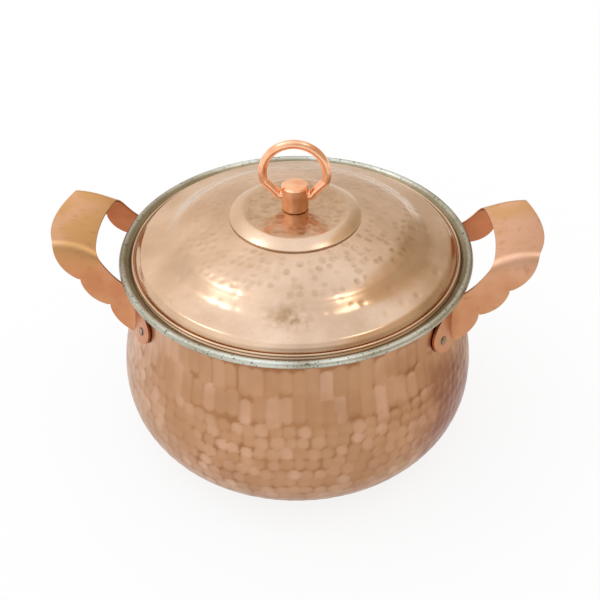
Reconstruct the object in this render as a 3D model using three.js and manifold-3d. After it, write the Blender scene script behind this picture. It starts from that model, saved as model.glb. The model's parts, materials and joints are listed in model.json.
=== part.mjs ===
// A hammered copper pot with two strap handles and a lid that sits inside the flared mouth.
//
// The pot is one raised copper shell with a rolled rim. Each handle is one cut strip of sheet copper,
// folded twice, with a rounded tongue at each end that is riveted to the neck. The lid is a second shell
// with a folded hem. A pressed plate caps its crown, a turned post stands on the plate, and one screw
// holds post, plate and lid together. A wire ring swings in the cross hole of the post.
//
// Millimetres, +Z up. The origin is the middle of the flat base, and the handles lie along X.

import * as THREE from 'three';
import { mergeVertices } from 'three/addons/utils/BufferGeometryUtils.js';
import Module from 'manifold-3d';

const wasm = await Module();
wasm.setup();

// Driving dimensions

// The pot shell: radii of its outer face, and drops below the middle of the rim bead.
const RIM_HEIGHT = 131;
const RIM_BEAD_RADIUS = 2.2;
const FLARE_OUT = 6;
const NECK_RADIUS = 101.8;
const NECK_DROP = 9;
const BELLY_RADIUS = 116.5;
const BELLY_DROP = 87;
const BASE_RADIUS = 72;
const POT_WALL = 1.4;
const BASE_FULLNESS_SHARE = 2.2;

// The lid shell. Its hem rests on the flare, at this share of the quarter turn from neck to rim.
const LID_SEAT_TURN_SHARE = 0.55;
const LID_SEAT_GAP = 0.3;
const LID_SHEET = 1.1;
const LID_HEM_RADIUS = 1.2;
const LID_HEM_HEIGHT = 0.7;
const LID_RISE = 27.6;

// The lid's outline from the crown to the hem: shares of the hem's ring radius and of the rise.
const LID_OUTLINE_SHARES = [
  [0, 1],
  [0.199, 0.974],
  [0.397, 0.886],
  [0.541, 0.77],
  [0.645, 0.662],
  [0.71, 0.562],
  [0.742, 0.482],
  [0.794, 0.366],
  [0.834, 0.305],
  [0.895, 0.237],
  [0.945, 0.178],
  [0.973, 0.118],
  [0.985, 0.035],
  [0.994, -0.018],
];

// The plate, post, screw, washer and ring that make the knob. The plate covers this share of the neck's
// radius, and its flat this share of the plate, so that it always sits on the same part of the dome.
const PLATE_RADIUS_SHARE = 0.398;
const PLATE_FLAT_SHARE = 0.778;
const PLATE_SHEET = 1.4;
const PLATE_HEIGHT = 4.5;
const PLATE_EDGE = 0.6;
const PLATE_BEVEL_SHARES = [
  [0, 1],
  [0.18, 0.93],
  [0.6, 0.52],
  [1, 0],
];
const POST_RADIUS = 8.2;
const POST_HEIGHT = 16.4;
const POST_CHAMFER = 0.9;
const POST_CROWN = 0.4;
const CROSS_HOLE_HEIGHT = 8.4;
const SCREW_RADIUS = 2;
const SCREW_ENGAGEMENT = 4.2;
const SCREW_HEAD_RADIUS = 4;
const SCREW_HEAD_HEIGHT = 2.4;
const SCREW_SLOT_WIDTH = 1;
const SCREW_SLOT_DEPTH = 1.1;
const WASHER_RADIUS = 8;
const WASHER_THICKNESS = 1;
const RING_WIRE_RADIUS = 2.6;
const RING_LOOP_RADIUS = 19.1;
const RING_LOOP_HEIGHT = 15.4;
const RING_END_GAP = 2;
const RING_BEND_STAND_OFF = 1.2;
const RING_SHOULDER_DEGREES = 16;
const RING_LEG_SHARES = [0.3, 0.75];

// The handles: the grip lies beyond the rim by the finger gap. Heights are above the rim bead's middle.
const STRAP_SHEET = 1.5;
const FINGER_GAP = 11.8;
const GRIP_WIDTH = 28.8;
const GRIP_INNER_BOW = 3.9;
const GRIP_INNER_HEIGHT = 13.8;
const GRIP_INNER_SAG = 1.1;
const GRIP_INNER_HALF_LENGTH = 31.5;
const GRIP_OUTER_BOW = 9;
const GRIP_OUTER_HEIGHT = 17.6;
const GRIP_OUTER_LIFT = 2.6;
const GRIP_OUTER_HALF_LENGTH = 33.2;
const GRIP_CROWN = 1.8;
const TONGUE_TOP_DROP = 9.5;
const TONGUE_BOTTOM_DROP = 37.5;
const TONGUE_TOP_DEGREES = 20.5;
const TONGUE_BOTTOM_DEGREES = 22;
const TONGUE_REACH_DEGREES = 15;
const TONGUE_ROUND_SHARE = 0.85;
const TONGUE_GAP = 0.4;
const FOLD_SHARE = 0.15;

// The arm between fold and tongue. Its upper edge is one curve with this control place, and its lower
// edge has three lobes, which meet in cusps: shares of the way from fold to tongue, in X and in height.
const ARM_UPPER_CONTROL_SHARES = [0.4, 0.76];
const ARM_CUSP_SHARES = [
  [0, 0],
  [0.304, 0.395],
  [0.696, 0.69],
  [1, 1],
];
const ARM_LOBE_BULGES = [5.1, 4.5, 3.5];
const ARM_LOBE_FULLNESS_SHARE = 0.7;

// The rivets, one through each tongue.
const RIVET_SHANK_RADIUS = 1.6;
const RIVET_HEAD_RADIUS = 2.6;
const RIVET_HEAD_HEIGHT = 0.9;
const RIVET_PEEN_RADIUS = 2.8;
const RIVET_PEEN_HEIGHT = 0.8;
const RIVET_PEEN_GAP = 0.4;
const RIVET_DROP = 28;
const RIVET_DEGREES = 30.5;

// Clearances, and how finely round things are drawn.
const REST_GAP = 0.2;
const PIN_CLEARANCE = 0.1;
const HOLE_CLEARANCE = 0.2;
const CUT_OVERRUN = 5;
const WELD_DISTANCE = 0.001;
const PROBE_STEP_SHARE = 0.001;
const ROUND_STEPS = 48;
const SMALL_ROUND_STEPS = 24;
const WIRE_HALF_SIDES = 5;
const WIRE_STEPS = 56;

const COPPER = 0xc8946a;
const BRIGHT_COPPER = 0xc98355;
const HANDLE_COPPER = 0xc08752;
const TIN = 0xb9bab0;
const STEEL = 0xa7a8a6;

// Places that follow from the sizes above

const NECK_Z = -NECK_DROP;
const BELLY_Z = -BELLY_DROP;
const BASE_Z = -RIM_HEIGHT;
const RIM_BEAD_RING_RADIUS = NECK_RADIUS + FLARE_OUT;
const PLATE_RADIUS = NECK_RADIUS * PLATE_RADIUS_SHARE;
const PLATE_FLAT_RADIUS = PLATE_RADIUS * PLATE_FLAT_SHARE;
const GRIP_INNER_REACH = RIM_BEAD_RING_RADIUS + RIM_BEAD_RADIUS + FINGER_GAP;
const GRIP_OUTER_REACH = GRIP_INNER_REACH + GRIP_WIDTH;
const QUARTER = Math.PI / 2;

// Solids

/** Joins a geometry's shared corners and drops the triangles that have shrunk to a line. */
function weld(geometry) {
  const bare = geometry.clone();
  bare.deleteAttribute('normal');
  bare.deleteAttribute('uv');
  const merged = mergeVertices(bare, WELD_DISTANCE);
  const kept = [];
  const corners = merged.index.array;
  for (let i = 0; i < corners.length; i += 3) {
    const [a, b, c] = corners.slice(i, i + 3);
    if (a !== b && b !== c && c !== a) {
      kept.push(a, b, c);
    }
  }
  merged.setIndex(kept);
  return merged;
}

/** Makes a solid, for joining and cutting, from a closed geometry. */
function toSolid(geometry) {
  const welded = weld(geometry);
  const mesh = new wasm.Mesh({
    numProp: 3,
    vertProperties: new Float32Array(welded.attributes.position.array),
    triVerts: new Uint32Array(welded.index.array),
  });
  return new wasm.Manifold(mesh);
}

/** Turns a solid back into a geometry. */
function toGeometry(solid) {
  const mesh = solid.getMesh();
  const geometry = new THREE.BufferGeometry();
  geometry.setAttribute('position', new THREE.BufferAttribute(new Float32Array(mesh.vertProperties), 3));
  geometry.setIndex(Array.from(mesh.triVerts));
  geometry.computeVertexNormals();
  return geometry;
}

/** Spins an outline of [radius, height] points round the Z axis. */
function spin(outline, steps) {
  const points = outline.map(([radius, height]) => new THREE.Vector2(radius, height));
  const geometry = new THREE.LatheGeometry(points, steps);
  geometry.rotateX(QUARTER);
  return geometry;
}

/** Spins an outline that closes on itself. */
function spinClosed(outline, steps) {
  return spin([...outline, outline[0]], steps);
}

/** A cylinder along Z from one height to another. */
function rod(radius, low, high, steps = SMALL_ROUND_STEPS) {
  return spin([[0, low], [radius, low], [radius, high], [0, high]], steps);
}

/** Points of an outline moved sideways, to the left of its direction. */
function sideways(outline, distance) {
  return outline.map(([x, y], i) => {
    const [x0, y0] = outline[Math.max(i - 1, 0)];
    const [x1, y1] = outline[Math.min(i + 1, outline.length - 1)];
    const length = Math.hypot(x1 - x0, y1 - y0);
    return [x - (distance * (y1 - y0)) / length, y + (distance * (x1 - x0)) / length];
  });
}

/** Points of an arc in an outline, counter-clockwise from one angle to another. */
function arc(centreX, centreY, radius, from, to, steps) {
  return Array.from({ length: steps + 1 }, (_, i) => {
    const angle = from + ((to - from) * i) / steps;
    return [centreX + radius * Math.cos(angle), centreY + radius * Math.sin(angle)];
  });
}

function makeMesh(name, geometry, color, roughness, metalness = 1) {
  const material = new THREE.MeshStandardMaterial({ color, roughness, metalness });
  const mesh = new THREE.Mesh(geometry, material);
  mesh.name = name;
  return mesh;
}

// The pot shell

/** The quarter curve of the flare, from the upright neck to the level rim. */
function flarePoint(turn) {
  return [NECK_RADIUS + FLARE_OUT * (1 - Math.cos(turn)), NECK_Z + NECK_DROP * Math.sin(turn)];
}

/** Outer radius of the shell between belly and neck: half a cosine wave. */
function shoulderRadius(z) {
  const share = (NECK_Z - z) / (NECK_Z - BELLY_Z);
  const wave = (1 - Math.cos(Math.PI * share)) / 2;
  return NECK_RADIUS + (BELLY_RADIUS - NECK_RADIUS) * wave;
}

/** Outer face of the shell: flat base, full round corner, belly, shoulder, neck and flare. */
function potOutline() {
  const cornerSteps = 7;
  const shoulderSteps = 8;
  const flareSteps = 4;
  const power = 2 / BASE_FULLNESS_SHARE;
  const outline = [];
  for (let i = 1; i <= cornerSteps; i += 1) {
    const turn = (QUARTER * i) / cornerSteps;
    const out = Math.sin(turn) ** power;
    const down = Math.max(Math.cos(turn), 0) ** power;
    outline.push([BASE_RADIUS + (BELLY_RADIUS - BASE_RADIUS) * out, BELLY_Z - (BELLY_Z - BASE_Z) * down]);
  }
  for (let i = 1; i <= shoulderSteps; i += 1) {
    const z = BELLY_Z + ((NECK_Z - BELLY_Z) * i) / shoulderSteps;
    outline.push([shoulderRadius(z), z]);
  }
  for (let i = 1; i <= flareSteps; i += 1) {
    outline.push(flarePoint((QUARTER * i) / flareSteps));
  }
  return outline;
}

/** A hole through wall and tongue for the rivet at one corner of the pot. */
function rivetHole(corner) {
  const hole = rod(RIVET_SHANK_RADIUS + HOLE_CLEARANCE, -CUT_OVERRUN, CUT_OVERRUN);
  return toSolid(hole.applyMatrix4(rivetPlace(corner)));
}

/** Where a rivet stands: on the outer face of the neck, square to it. */
function rivetPlace({ side, end }) {
  const quarterTurn = side > 0 ? 0 : Math.PI;
  const azimuth = quarterTurn + side * end * THREE.MathUtils.degToRad(RIVET_DEGREES);
  const probe = RIVET_DROP * PROBE_STEP_SHARE;
  const rise = shoulderRadius(-RIVET_DROP + probe) - shoulderRadius(-RIVET_DROP - probe);
  const tilt = Math.atan2(-rise, 2 * probe);
  const radius = shoulderRadius(-RIVET_DROP);
  const turned = new THREE.Matrix4().makeRotationZ(azimuth);
  const moved = new THREE.Matrix4().makeTranslation(radius, 0, -RIVET_DROP);
  const leaned = new THREE.Matrix4().makeRotationY(QUARTER - tilt);
  return turned.multiply(moved).multiply(leaned);
}

const CORNERS = [
  { name: 'right_front', side: 1, end: -1 },
  { name: 'right_back', side: 1, end: 1 },
  { name: 'left_front', side: -1, end: -1 },
  { name: 'left_back', side: -1, end: 1 },
];

function makePotBody() {
  const outer = potOutline();
  const inner = sideways(outer, POT_WALL).reverse();
  const inside = inner[inner.length - 1];
  inside[1] = BASE_Z + POT_WALL;
  const outline = [[0, BASE_Z], [BASE_RADIUS, BASE_Z], ...outer, ...inner, [0, BASE_Z + POT_WALL]];
  const beadSteps = 8;
  const bead = arc(RIM_BEAD_RING_RADIUS, 0, RIM_BEAD_RADIUS, 0, 4 * QUARTER, beadSteps).slice(1);
  let body = toSolid(spin(outline, ROUND_STEPS)).add(toSolid(spinClosed(bead, ROUND_STEPS)));
  for (const corner of CORNERS) {
    body = body.subtract(rivetHole(corner));
  }
  return makeMesh('pot_body', toGeometry(body), COPPER, 0.34);
}

/** A rivet: low round head outside, shank, and a hammered-over end inside the pot. */
function makeRivet(corner) {
  const steps = 4;
  const stack = TONGUE_GAP + STRAP_SHEET + REST_GAP;
  const behind = -POT_WALL - RIVET_PEEN_GAP;
  const outline = [[0, behind - RIVET_PEEN_HEIGHT]];
  for (let i = 1; i <= steps; i += 1) {
    const turn = (QUARTER * i) / steps;
    outline.push([RIVET_PEEN_RADIUS * Math.sin(turn), behind - RIVET_PEEN_HEIGHT * Math.cos(turn)]);
  }
  outline.push([RIVET_SHANK_RADIUS, behind], [RIVET_SHANK_RADIUS, stack]);
  for (let i = 0; i < steps; i += 1) {
    const turn = (QUARTER * i) / steps;
    outline.push([RIVET_HEAD_RADIUS * Math.cos(turn), stack + RIVET_HEAD_HEIGHT * Math.sin(turn)]);
  }
  outline.push([0, stack + RIVET_HEAD_HEIGHT]);
  const geometry = weld(spin(outline, SMALL_ROUND_STEPS / 2));
  geometry.applyMatrix4(rivetPlace(corner));
  return makeMesh(`${corner.name}_rivet`, geometry, TIN, 0.45);
}

// The handles

const GRIP_INNER_FOLD = new THREE.Vector3(
  GRIP_INNER_REACH - GRIP_INNER_BOW,
  GRIP_INNER_HALF_LENGTH,
  GRIP_INNER_HEIGHT - GRIP_INNER_SAG,
);
const GRIP_OUTER_FOLD = new THREE.Vector3(
  GRIP_OUTER_REACH - GRIP_OUTER_BOW,
  GRIP_OUTER_HALF_LENGTH,
  GRIP_OUTER_HEIGHT + GRIP_OUTER_LIFT,
);

/** Middle of the sheet on the tongue, which lies round the neck: reach runs from fold to rounded end. */
function tonguePoint(reach, across) {
  const z = THREE.MathUtils.lerp(-TONGUE_TOP_DROP, -TONGUE_BOTTOM_DROP, across);
  const start = THREE.MathUtils.lerp(TONGUE_TOP_DEGREES, TONGUE_BOTTOM_DEGREES, across);
  const round = Math.sqrt(1 - TONGUE_ROUND_SHARE * (2 * across - 1) ** 2);
  const azimuth = THREE.MathUtils.degToRad(start + TONGUE_REACH_DEGREES * round * reach);
  const radius = shoulderRadius(z) + TONGUE_GAP + STRAP_SHEET / 2;
  return new THREE.Vector3(radius * Math.cos(azimuth), radius * Math.sin(azimuth), z);
}

/** Middle of the sheet on the grip: both edges are parabolas that bow outwards, with a crown between. */
function gripPoint(along, across) {
  const bow = 1 - along * along;
  const inner = new THREE.Vector3(
    GRIP_INNER_FOLD.x + GRIP_INNER_BOW * bow,
    GRIP_INNER_FOLD.y * along,
    GRIP_INNER_FOLD.z + GRIP_INNER_SAG * bow,
  );
  const outer = new THREE.Vector3(
    GRIP_OUTER_FOLD.x + GRIP_OUTER_BOW * bow,
    GRIP_OUTER_FOLD.y * along,
    GRIP_OUTER_FOLD.z - GRIP_OUTER_LIFT * bow,
  );
  const point = inner.lerp(outer, across);
  point.z += GRIP_CROWN * 4 * across * (1 - across);
  return point;
}

/** A place between the fold of the grip and the foot of the tongue, in shares of the way. */
function between(start, end, shareX, shareZ) {
  return new THREE.Vector3(
    THREE.MathUtils.lerp(start.x, end.x, shareX),
    THREE.MathUtils.lerp(start.y, end.y, (shareX + shareZ) / 2),
    THREE.MathUtils.lerp(start.z, end.z, shareZ),
  );
}

/** Upper edge of the arm: a plain curve from the grip's inner corner to the top of the tongue. */
function armUpperEdge(along) {
  const end = tonguePoint(0, 0);
  const control = between(GRIP_INNER_FOLD, end, ...ARM_UPPER_CONTROL_SHARES);
  return new THREE.QuadraticBezierCurve3(GRIP_INNER_FOLD, control, end).getPoint(along);
}

/** Lower edge of the arm: straight runs between the cusps, each swollen into a round lobe. */
function armLowerEdge(along) {
  const end = tonguePoint(0, 1);
  const lobes = ARM_LOBE_BULGES.length;
  const lobe = Math.min(Math.floor(along * lobes), lobes - 1);
  const share = along * lobes - lobe;
  const start = between(GRIP_OUTER_FOLD, end, ...ARM_CUSP_SHARES[lobe]);
  const finish = between(GRIP_OUTER_FOLD, end, ...ARM_CUSP_SHARES[lobe + 1]);
  const run = finish.clone().sub(start);
  const outwards = new THREE.Vector3(-run.z, 0, run.x).normalize();
  const swell = Math.sin(Math.PI * share) ** ARM_LOBE_FULLNESS_SHARE;
  return start.lerp(finish, share).addScaledVector(outwards, ARM_LOBE_BULGES[lobe] * swell);
}

/** Middle of the sheet on the arm, which ends exactly where the tongue starts. */
function armPoint(along, across) {
  const point = armUpperEdge(along).lerp(armLowerEdge(along), across);
  const foot = tonguePoint(0, 0).lerp(tonguePoint(0, 1), across);
  const correction = tonguePoint(0, across).sub(foot);
  return point.addScaledVector(correction, along * along);
}

/** The folded strip before its folds are rounded: grip to 1, arm to 2, tongue to 3. */
function sharpStrip(place, across) {
  if (place <= 1) {
    return gripPoint(place, across);
  }
  if (place <= 2) {
    return armPoint(place - 1, across);
  }
  return tonguePoint(place - 2, across);
}

/** The strip with each fold rounded by a curve that meets grip, arm and tongue smoothly. */
function roundedStrip(place, across) {
  const fold = Math.round(place);
  const size = FOLD_SHARE;
  if (fold < 1 || fold > 2 || Math.abs(place - fold) >= size) {
    return sharpStrip(place, across);
  }
  const step = PROBE_STEP_SHARE;
  const start = sharpStrip(fold - size, across);
  const end = sharpStrip(fold + size, across);
  const leave = start.clone().sub(sharpStrip(fold - size - step, across)).multiplyScalar((2 * size) / step);
  const arrive = sharpStrip(fold + size + step, across).sub(end).multiplyScalar((2 * size) / step);
  const t = (place - fold + size) / (2 * size);
  return new THREE.Vector3()
    .addScaledVector(start, 2 * t ** 3 - 3 * t ** 2 + 1)
    .addScaledVector(leave, t ** 3 - 2 * t ** 2 + t)
    .addScaledVector(end, 3 * t ** 2 - 2 * t ** 3)
    .addScaledVector(arrive, t ** 3 - t ** 2);
}

/** The whole strip: negative places are the half with negative Y. */
function strip(place, across) {
  const point = roundedStrip(Math.abs(place), across);
  point.y *= Math.sign(place);
  return point;
}

/** Stations along half of the strip, closer together at the folds and at the cusps. */
function stripStations() {
  const stretches = [
    [0, 1 - FOLD_SHARE, 5],
    [1 - FOLD_SHARE, 1 + FOLD_SHARE, 5],
    [1 + FOLD_SHARE, 1 + 1 / 3, 3],
    [1 + 1 / 3, 1 + 2 / 3, 5],
    [1 + 2 / 3, 2 - FOLD_SHARE, 2],
    [2 - FOLD_SHARE, 2 + FOLD_SHARE, 3],
    [2 + FOLD_SHARE, 3, 3],
  ];
  const half = [0];
  for (const [from, to, steps] of stretches) {
    for (let i = 1; i <= steps; i += 1) {
      half.push(from + ((to - from) * i) / steps);
    }
  }
  return [...half.slice(1).reverse().map((place) => -place), ...half];
}

/** One handle: a flat unit block carried onto the folded strip, with its rows closer at both edges. */
function makeHandle(name, side) {
  const stations = stripStations();
  const columns = stations.length - 1;
  const rows = 6;
  const geometry = new THREE.BoxGeometry(1, 1, 1, columns, rows, 1);
  const position = geometry.attributes.position;
  for (let i = 0; i < position.count; i += 1) {
    const place = stations[Math.round((position.getX(i) + 0.5) * columns)];
    const across = (1 + Math.sin(Math.PI * position.getY(i))) / 2;
    const step = PROBE_STEP_SHARE;
    const along = strip(place + step, across).sub(strip(place - step, across));
    const sidewards = strip(place, across + step).sub(strip(place, across - step));
    const through = along.cross(sidewards).normalize();
    const corner = strip(place, across).addScaledVector(through, STRAP_SHEET * position.getZ(i));
    position.setXYZ(i, corner.x, corner.y, corner.z);
  }
  let handle = toSolid(geometry);
  for (const corner of CORNERS.filter((each) => each.side > 0)) {
    handle = handle.subtract(rivetHole(corner));
  }
  const mesh = makeMesh(name, toGeometry(handle), HANDLE_COPPER, 0.36);
  mesh.rotation.z = side > 0 ? 0 : Math.PI;
  return mesh;
}

// The lid shell

/** Middle of the hem's lower round: it stands off the inner face of the flare by the seat gap. */
function hemSeat() {
  const turn = QUARTER * LID_SEAT_TURN_SHARE;
  const [radius, z] = flarePoint(turn);
  const tangent = new THREE.Vector2(FLARE_OUT * Math.sin(turn), NECK_DROP * Math.cos(turn)).normalize();
  const away = POT_WALL + LID_SEAT_GAP + LID_HEM_RADIUS;
  return [radius - tangent.y * away, z + tangent.x * away];
}

const [HEM_RING_RADIUS, HEM_LOW_Z] = hemSeat();
const HEM_TOP_Z = HEM_LOW_Z + LID_HEM_HEIGHT;

/** Upper face of the lid from the crown to the hem. */
function lidOutline() {
  const places = LID_OUTLINE_SHARES.map(
    ([out, up]) => new THREE.Vector2(out * HEM_RING_RADIUS, HEM_TOP_Z + up * (LID_RISE - HEM_TOP_Z)),
  );
  const steps = 15;
  const curve = new THREE.SplineCurve(places);
  return curve.getPoints(steps).map((point) => [point.x, point.y]);
}

/** Height of the lid's upper face at a radius near its crown. */
function crownHeight(radius) {
  const outline = lidOutline();
  const next = outline.findIndex(([out]) => out > radius);
  const [r0, z0] = outline[next - 1];
  const [r1, z1] = outline[next];
  return z0 + ((z1 - z0) * (radius - r0)) / (r1 - r0);
}

const SCREW_HOLE_RADIUS = SCREW_RADIUS + HOLE_CLEARANCE;
const PLATE_EDGE_Z = crownHeight(PLATE_RADIUS - PLATE_SHEET) + REST_GAP;
const PLATE_TOP_Z = PLATE_EDGE_Z + PLATE_HEIGHT;
const POST_Z = PLATE_TOP_Z + REST_GAP;
const PIVOT_Z = POST_Z + CROSS_HOLE_HEIGHT;

function makeLidShell() {
  const top = lidOutline();
  const under = sideways(top, -LID_SHEET).reverse();
  under[under.length - 1][0] = 0;
  const sheet = toSolid(spin([...under.reverse(), ...top.reverse()], ROUND_STEPS));
  const steps = 5;
  const hem = [
    ...arc(HEM_RING_RADIUS, HEM_TOP_Z, LID_HEM_RADIUS, 0, 2 * QUARTER, steps),
    ...arc(HEM_RING_RADIUS, HEM_LOW_Z, LID_HEM_RADIUS, 2 * QUARTER, 4 * QUARTER, steps),
  ];
  const hole = toSolid(rod(SCREW_HOLE_RADIUS, LID_RISE - CUT_OVERRUN, LID_RISE + CUT_OVERRUN));
  const lid = sheet.add(toSolid(spinClosed(hem, ROUND_STEPS))).subtract(hole);
  return makeMesh('lid_shell', toGeometry(lid), COPPER, 0.3);
}

// The knob

/** The pressed plate: flat top, bevel, and a thin upright edge that stands on the lid. */
function makeKnobPlate() {
  const bevelWidth = PLATE_RADIUS - PLATE_FLAT_RADIUS;
  const bevelDrop = PLATE_HEIGHT - PLATE_EDGE;
  const bevel = PLATE_BEVEL_SHARES.map(([out, up]) => [
    PLATE_FLAT_RADIUS + bevelWidth * out,
    PLATE_TOP_Z - bevelDrop * (1 - up),
  ]);
  const under = sideways(bevel, -PLATE_SHEET).reverse();
  const outline = [
    [SCREW_HOLE_RADIUS, PLATE_TOP_Z - PLATE_SHEET],
    [SCREW_HOLE_RADIUS, PLATE_TOP_Z],
    ...bevel,
    [PLATE_RADIUS, PLATE_EDGE_Z],
    [PLATE_RADIUS - PLATE_SHEET, PLATE_EDGE_Z],
    ...under.slice(1),
  ];
  return makeMesh('knob_plate', spinClosed(outline.reverse(), ROUND_STEPS), COPPER, 0.32);
}

function makeKnobPost() {
  const top = POST_Z + POST_HEIGHT;
  const outline = [
    [0, POST_Z],
    [POST_RADIUS, POST_Z],
    [POST_RADIUS, top - POST_CROWN - POST_CHAMFER],
    [POST_RADIUS - POST_CHAMFER, top - POST_CROWN],
    [(POST_RADIUS - POST_CHAMFER) / 2, top - POST_CROWN / 4],
    [0, top],
  ];
  const across = rod(RING_WIRE_RADIUS + PIN_CLEARANCE, -POST_RADIUS - CUT_OVERRUN, POST_RADIUS + CUT_OVERRUN);
  across.rotateY(QUARTER);
  across.translate(0, 0, PIVOT_Z);
  const thread = rod(SCREW_HOLE_RADIUS, POST_Z - CUT_OVERRUN, POST_Z + SCREW_ENGAGEMENT + REST_GAP);
  const post = toSolid(spin(outline, ROUND_STEPS)).subtract(toSolid(across)).subtract(toSolid(thread));
  return makeMesh('knob_post', toGeometry(post), BRIGHT_COPPER, 0.28);
}

const WASHER_TOP_Z = crownHeight(WASHER_RADIUS) - LID_SHEET - REST_GAP;
const SCREW_SEAT_Z = WASHER_TOP_Z - WASHER_THICKNESS - REST_GAP;

function makeKnobWasher() {
  const low = WASHER_TOP_Z - WASHER_THICKNESS;
  const outline = [
    [SCREW_HOLE_RADIUS, low],
    [WASHER_RADIUS, low],
    [WASHER_RADIUS, WASHER_TOP_Z],
    [SCREW_HOLE_RADIUS, WASHER_TOP_Z],
  ];
  return makeMesh('knob_washer', spinClosed(outline, SMALL_ROUND_STEPS), STEEL, 0.4);
}

function makeKnobScrew() {
  const low = SCREW_SEAT_Z - SCREW_HEAD_HEIGHT;
  const rim = SCREW_SEAT_Z - SCREW_HEAD_HEIGHT / 3;
  const outline = [
    [0, low],
    [SCREW_HEAD_RADIUS / 2, low],
    [SCREW_HEAD_RADIUS * 0.9, (low + rim) / 2],
    [SCREW_HEAD_RADIUS, rim],
    [SCREW_HEAD_RADIUS, SCREW_SEAT_Z],
    [SCREW_RADIUS, SCREW_SEAT_Z],
    [SCREW_RADIUS, POST_Z + SCREW_ENGAGEMENT],
    [0, POST_Z + SCREW_ENGAGEMENT],
  ];
  const slot = new THREE.BoxGeometry(4 * SCREW_HEAD_RADIUS, SCREW_SLOT_WIDTH, 2 * SCREW_SLOT_DEPTH);
  slot.translate(0, 0, low);
  const screw = toSolid(spin(outline, SMALL_ROUND_STEPS)).subtract(toSolid(slot));
  return makeMesh('knob_screw', toGeometry(screw), STEEL, 0.35);
}

/** Middle line of the ring's wire: an end in the post, a bend, a slanting leg and the round loop. */
function ringPath() {
  const shoulder = THREE.MathUtils.degToRad(RING_SHOULDER_DEGREES);
  const bendX = POST_RADIUS + RING_BEND_STAND_OFF;
  const loopSteps = 16;
  const places = [
    [RING_END_GAP / 2, 0],
    [POST_RADIUS / 2, 0],
    [(POST_RADIUS + bendX) / 2, 0],
    [bendX, 0],
  ];
  const shoulderX = RING_LOOP_RADIUS * Math.cos(shoulder);
  const shoulderZ = RING_LOOP_HEIGHT - RING_LOOP_RADIUS * Math.sin(shoulder);
  for (const share of RING_LEG_SHARES) {
    places.push([bendX + (shoulderX - bendX) * share, shoulderZ * share]);
  }
  for (let i = 0; i < loopSteps; i += 1) {
    const turn = -shoulder + ((QUARTER + shoulder) * i) / loopSteps;
    places.push([RING_LOOP_RADIUS * Math.cos(turn), RING_LOOP_HEIGHT + RING_LOOP_RADIUS * Math.sin(turn)]);
  }
  const right = places.map(([x, z]) => new THREE.Vector3(x, 0, z));
  const left = places.map(([x, z]) => new THREE.Vector3(-x, 0, z));
  const top = new THREE.Vector3(0, 0, RING_LOOP_HEIGHT + RING_LOOP_RADIUS);
  return new THREE.CatmullRomCurve3([...left, top, ...right.reverse()], false, 'centripetal');
}

function makeKnobRing() {
  const section = new THREE.Shape();
  section.absarc(0, 0, RING_WIRE_RADIUS, 0, 4 * QUARTER);
  const geometry = new THREE.ExtrudeGeometry(section, {
    steps: WIRE_STEPS,
    curveSegments: WIRE_HALF_SIDES,
    extrudePath: ringPath(),
    bevelEnabled: false,
  });
  const mesh = makeMesh('knob_ring', weld(geometry), BRIGHT_COPPER, 0.26);
  mesh.position.z = PIVOT_Z;
  return mesh;
}

// The whole pot. Heights are measured from the middle of the rim bead, so the group lifts the base to zero.

const pot = new THREE.Group();
pot.name = 'hammered_copper_pot';
pot.position.z = RIM_HEIGHT;
pot.add(makePotBody());
pot.add(makeHandle('right_handle', 1));
pot.add(makeHandle('left_handle', -1));
for (const corner of CORNERS) {
  pot.add(makeRivet(corner));
}

const lid = new THREE.Group();
lid.add(makeLidShell());
lid.add(makeKnobPlate());
lid.add(makeKnobPost());
lid.add(makeKnobWasher());
lid.add(makeKnobScrew());
lid.add(makeKnobRing());
pot.add(lid);

export default pot;
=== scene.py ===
# %% [markdown]
# # A hammered copper pot
#
# The real pot is raised from one round sheet of copper, hammered over its whole outside, rolled at the
# rim and tinned inside. Two strap handles are riveted to its neck, and a stepped, domed lid drops into
# the flared mouth. A pressed plate, a turned post and a wire ring make the lid's knob.
#
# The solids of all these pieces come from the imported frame. Here each one that shows gets a fine surface
# of its own, worked out with numpy in millimetres and put into a mesh in metres.

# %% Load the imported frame
import json
import math

import bpy
import numpy as np
from mathutils import Matrix, Vector


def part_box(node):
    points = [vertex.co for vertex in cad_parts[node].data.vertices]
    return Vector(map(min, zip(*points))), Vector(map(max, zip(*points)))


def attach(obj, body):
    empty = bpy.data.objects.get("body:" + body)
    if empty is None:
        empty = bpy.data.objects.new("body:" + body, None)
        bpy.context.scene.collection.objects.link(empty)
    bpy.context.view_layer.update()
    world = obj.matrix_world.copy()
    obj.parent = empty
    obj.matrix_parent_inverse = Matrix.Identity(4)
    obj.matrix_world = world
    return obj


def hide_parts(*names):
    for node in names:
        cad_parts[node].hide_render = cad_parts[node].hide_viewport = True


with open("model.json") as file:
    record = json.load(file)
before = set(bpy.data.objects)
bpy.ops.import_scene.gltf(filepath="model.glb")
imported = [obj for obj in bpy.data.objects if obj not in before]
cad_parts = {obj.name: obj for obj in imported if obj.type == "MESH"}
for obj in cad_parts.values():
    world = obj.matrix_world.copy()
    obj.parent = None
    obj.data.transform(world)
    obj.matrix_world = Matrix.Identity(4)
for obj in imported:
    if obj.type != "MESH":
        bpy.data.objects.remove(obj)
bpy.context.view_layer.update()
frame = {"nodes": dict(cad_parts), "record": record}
MM = 0.001
TURN = 2 * math.pi
QUARTER = math.pi / 2

# %% [markdown]
# ## Sizes
#
# These are the driving sizes of the pot in millimetres, the same ones that the solids were made from. Only
# the riser and the edge of the lid are drawn a little finer here, by less than half a millimetre. Heights
# in the outlines are measured from the middle of the rolled rim, and `RIM_HEIGHT` lifts them at the very
# end, so that the base stands at zero.

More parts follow.
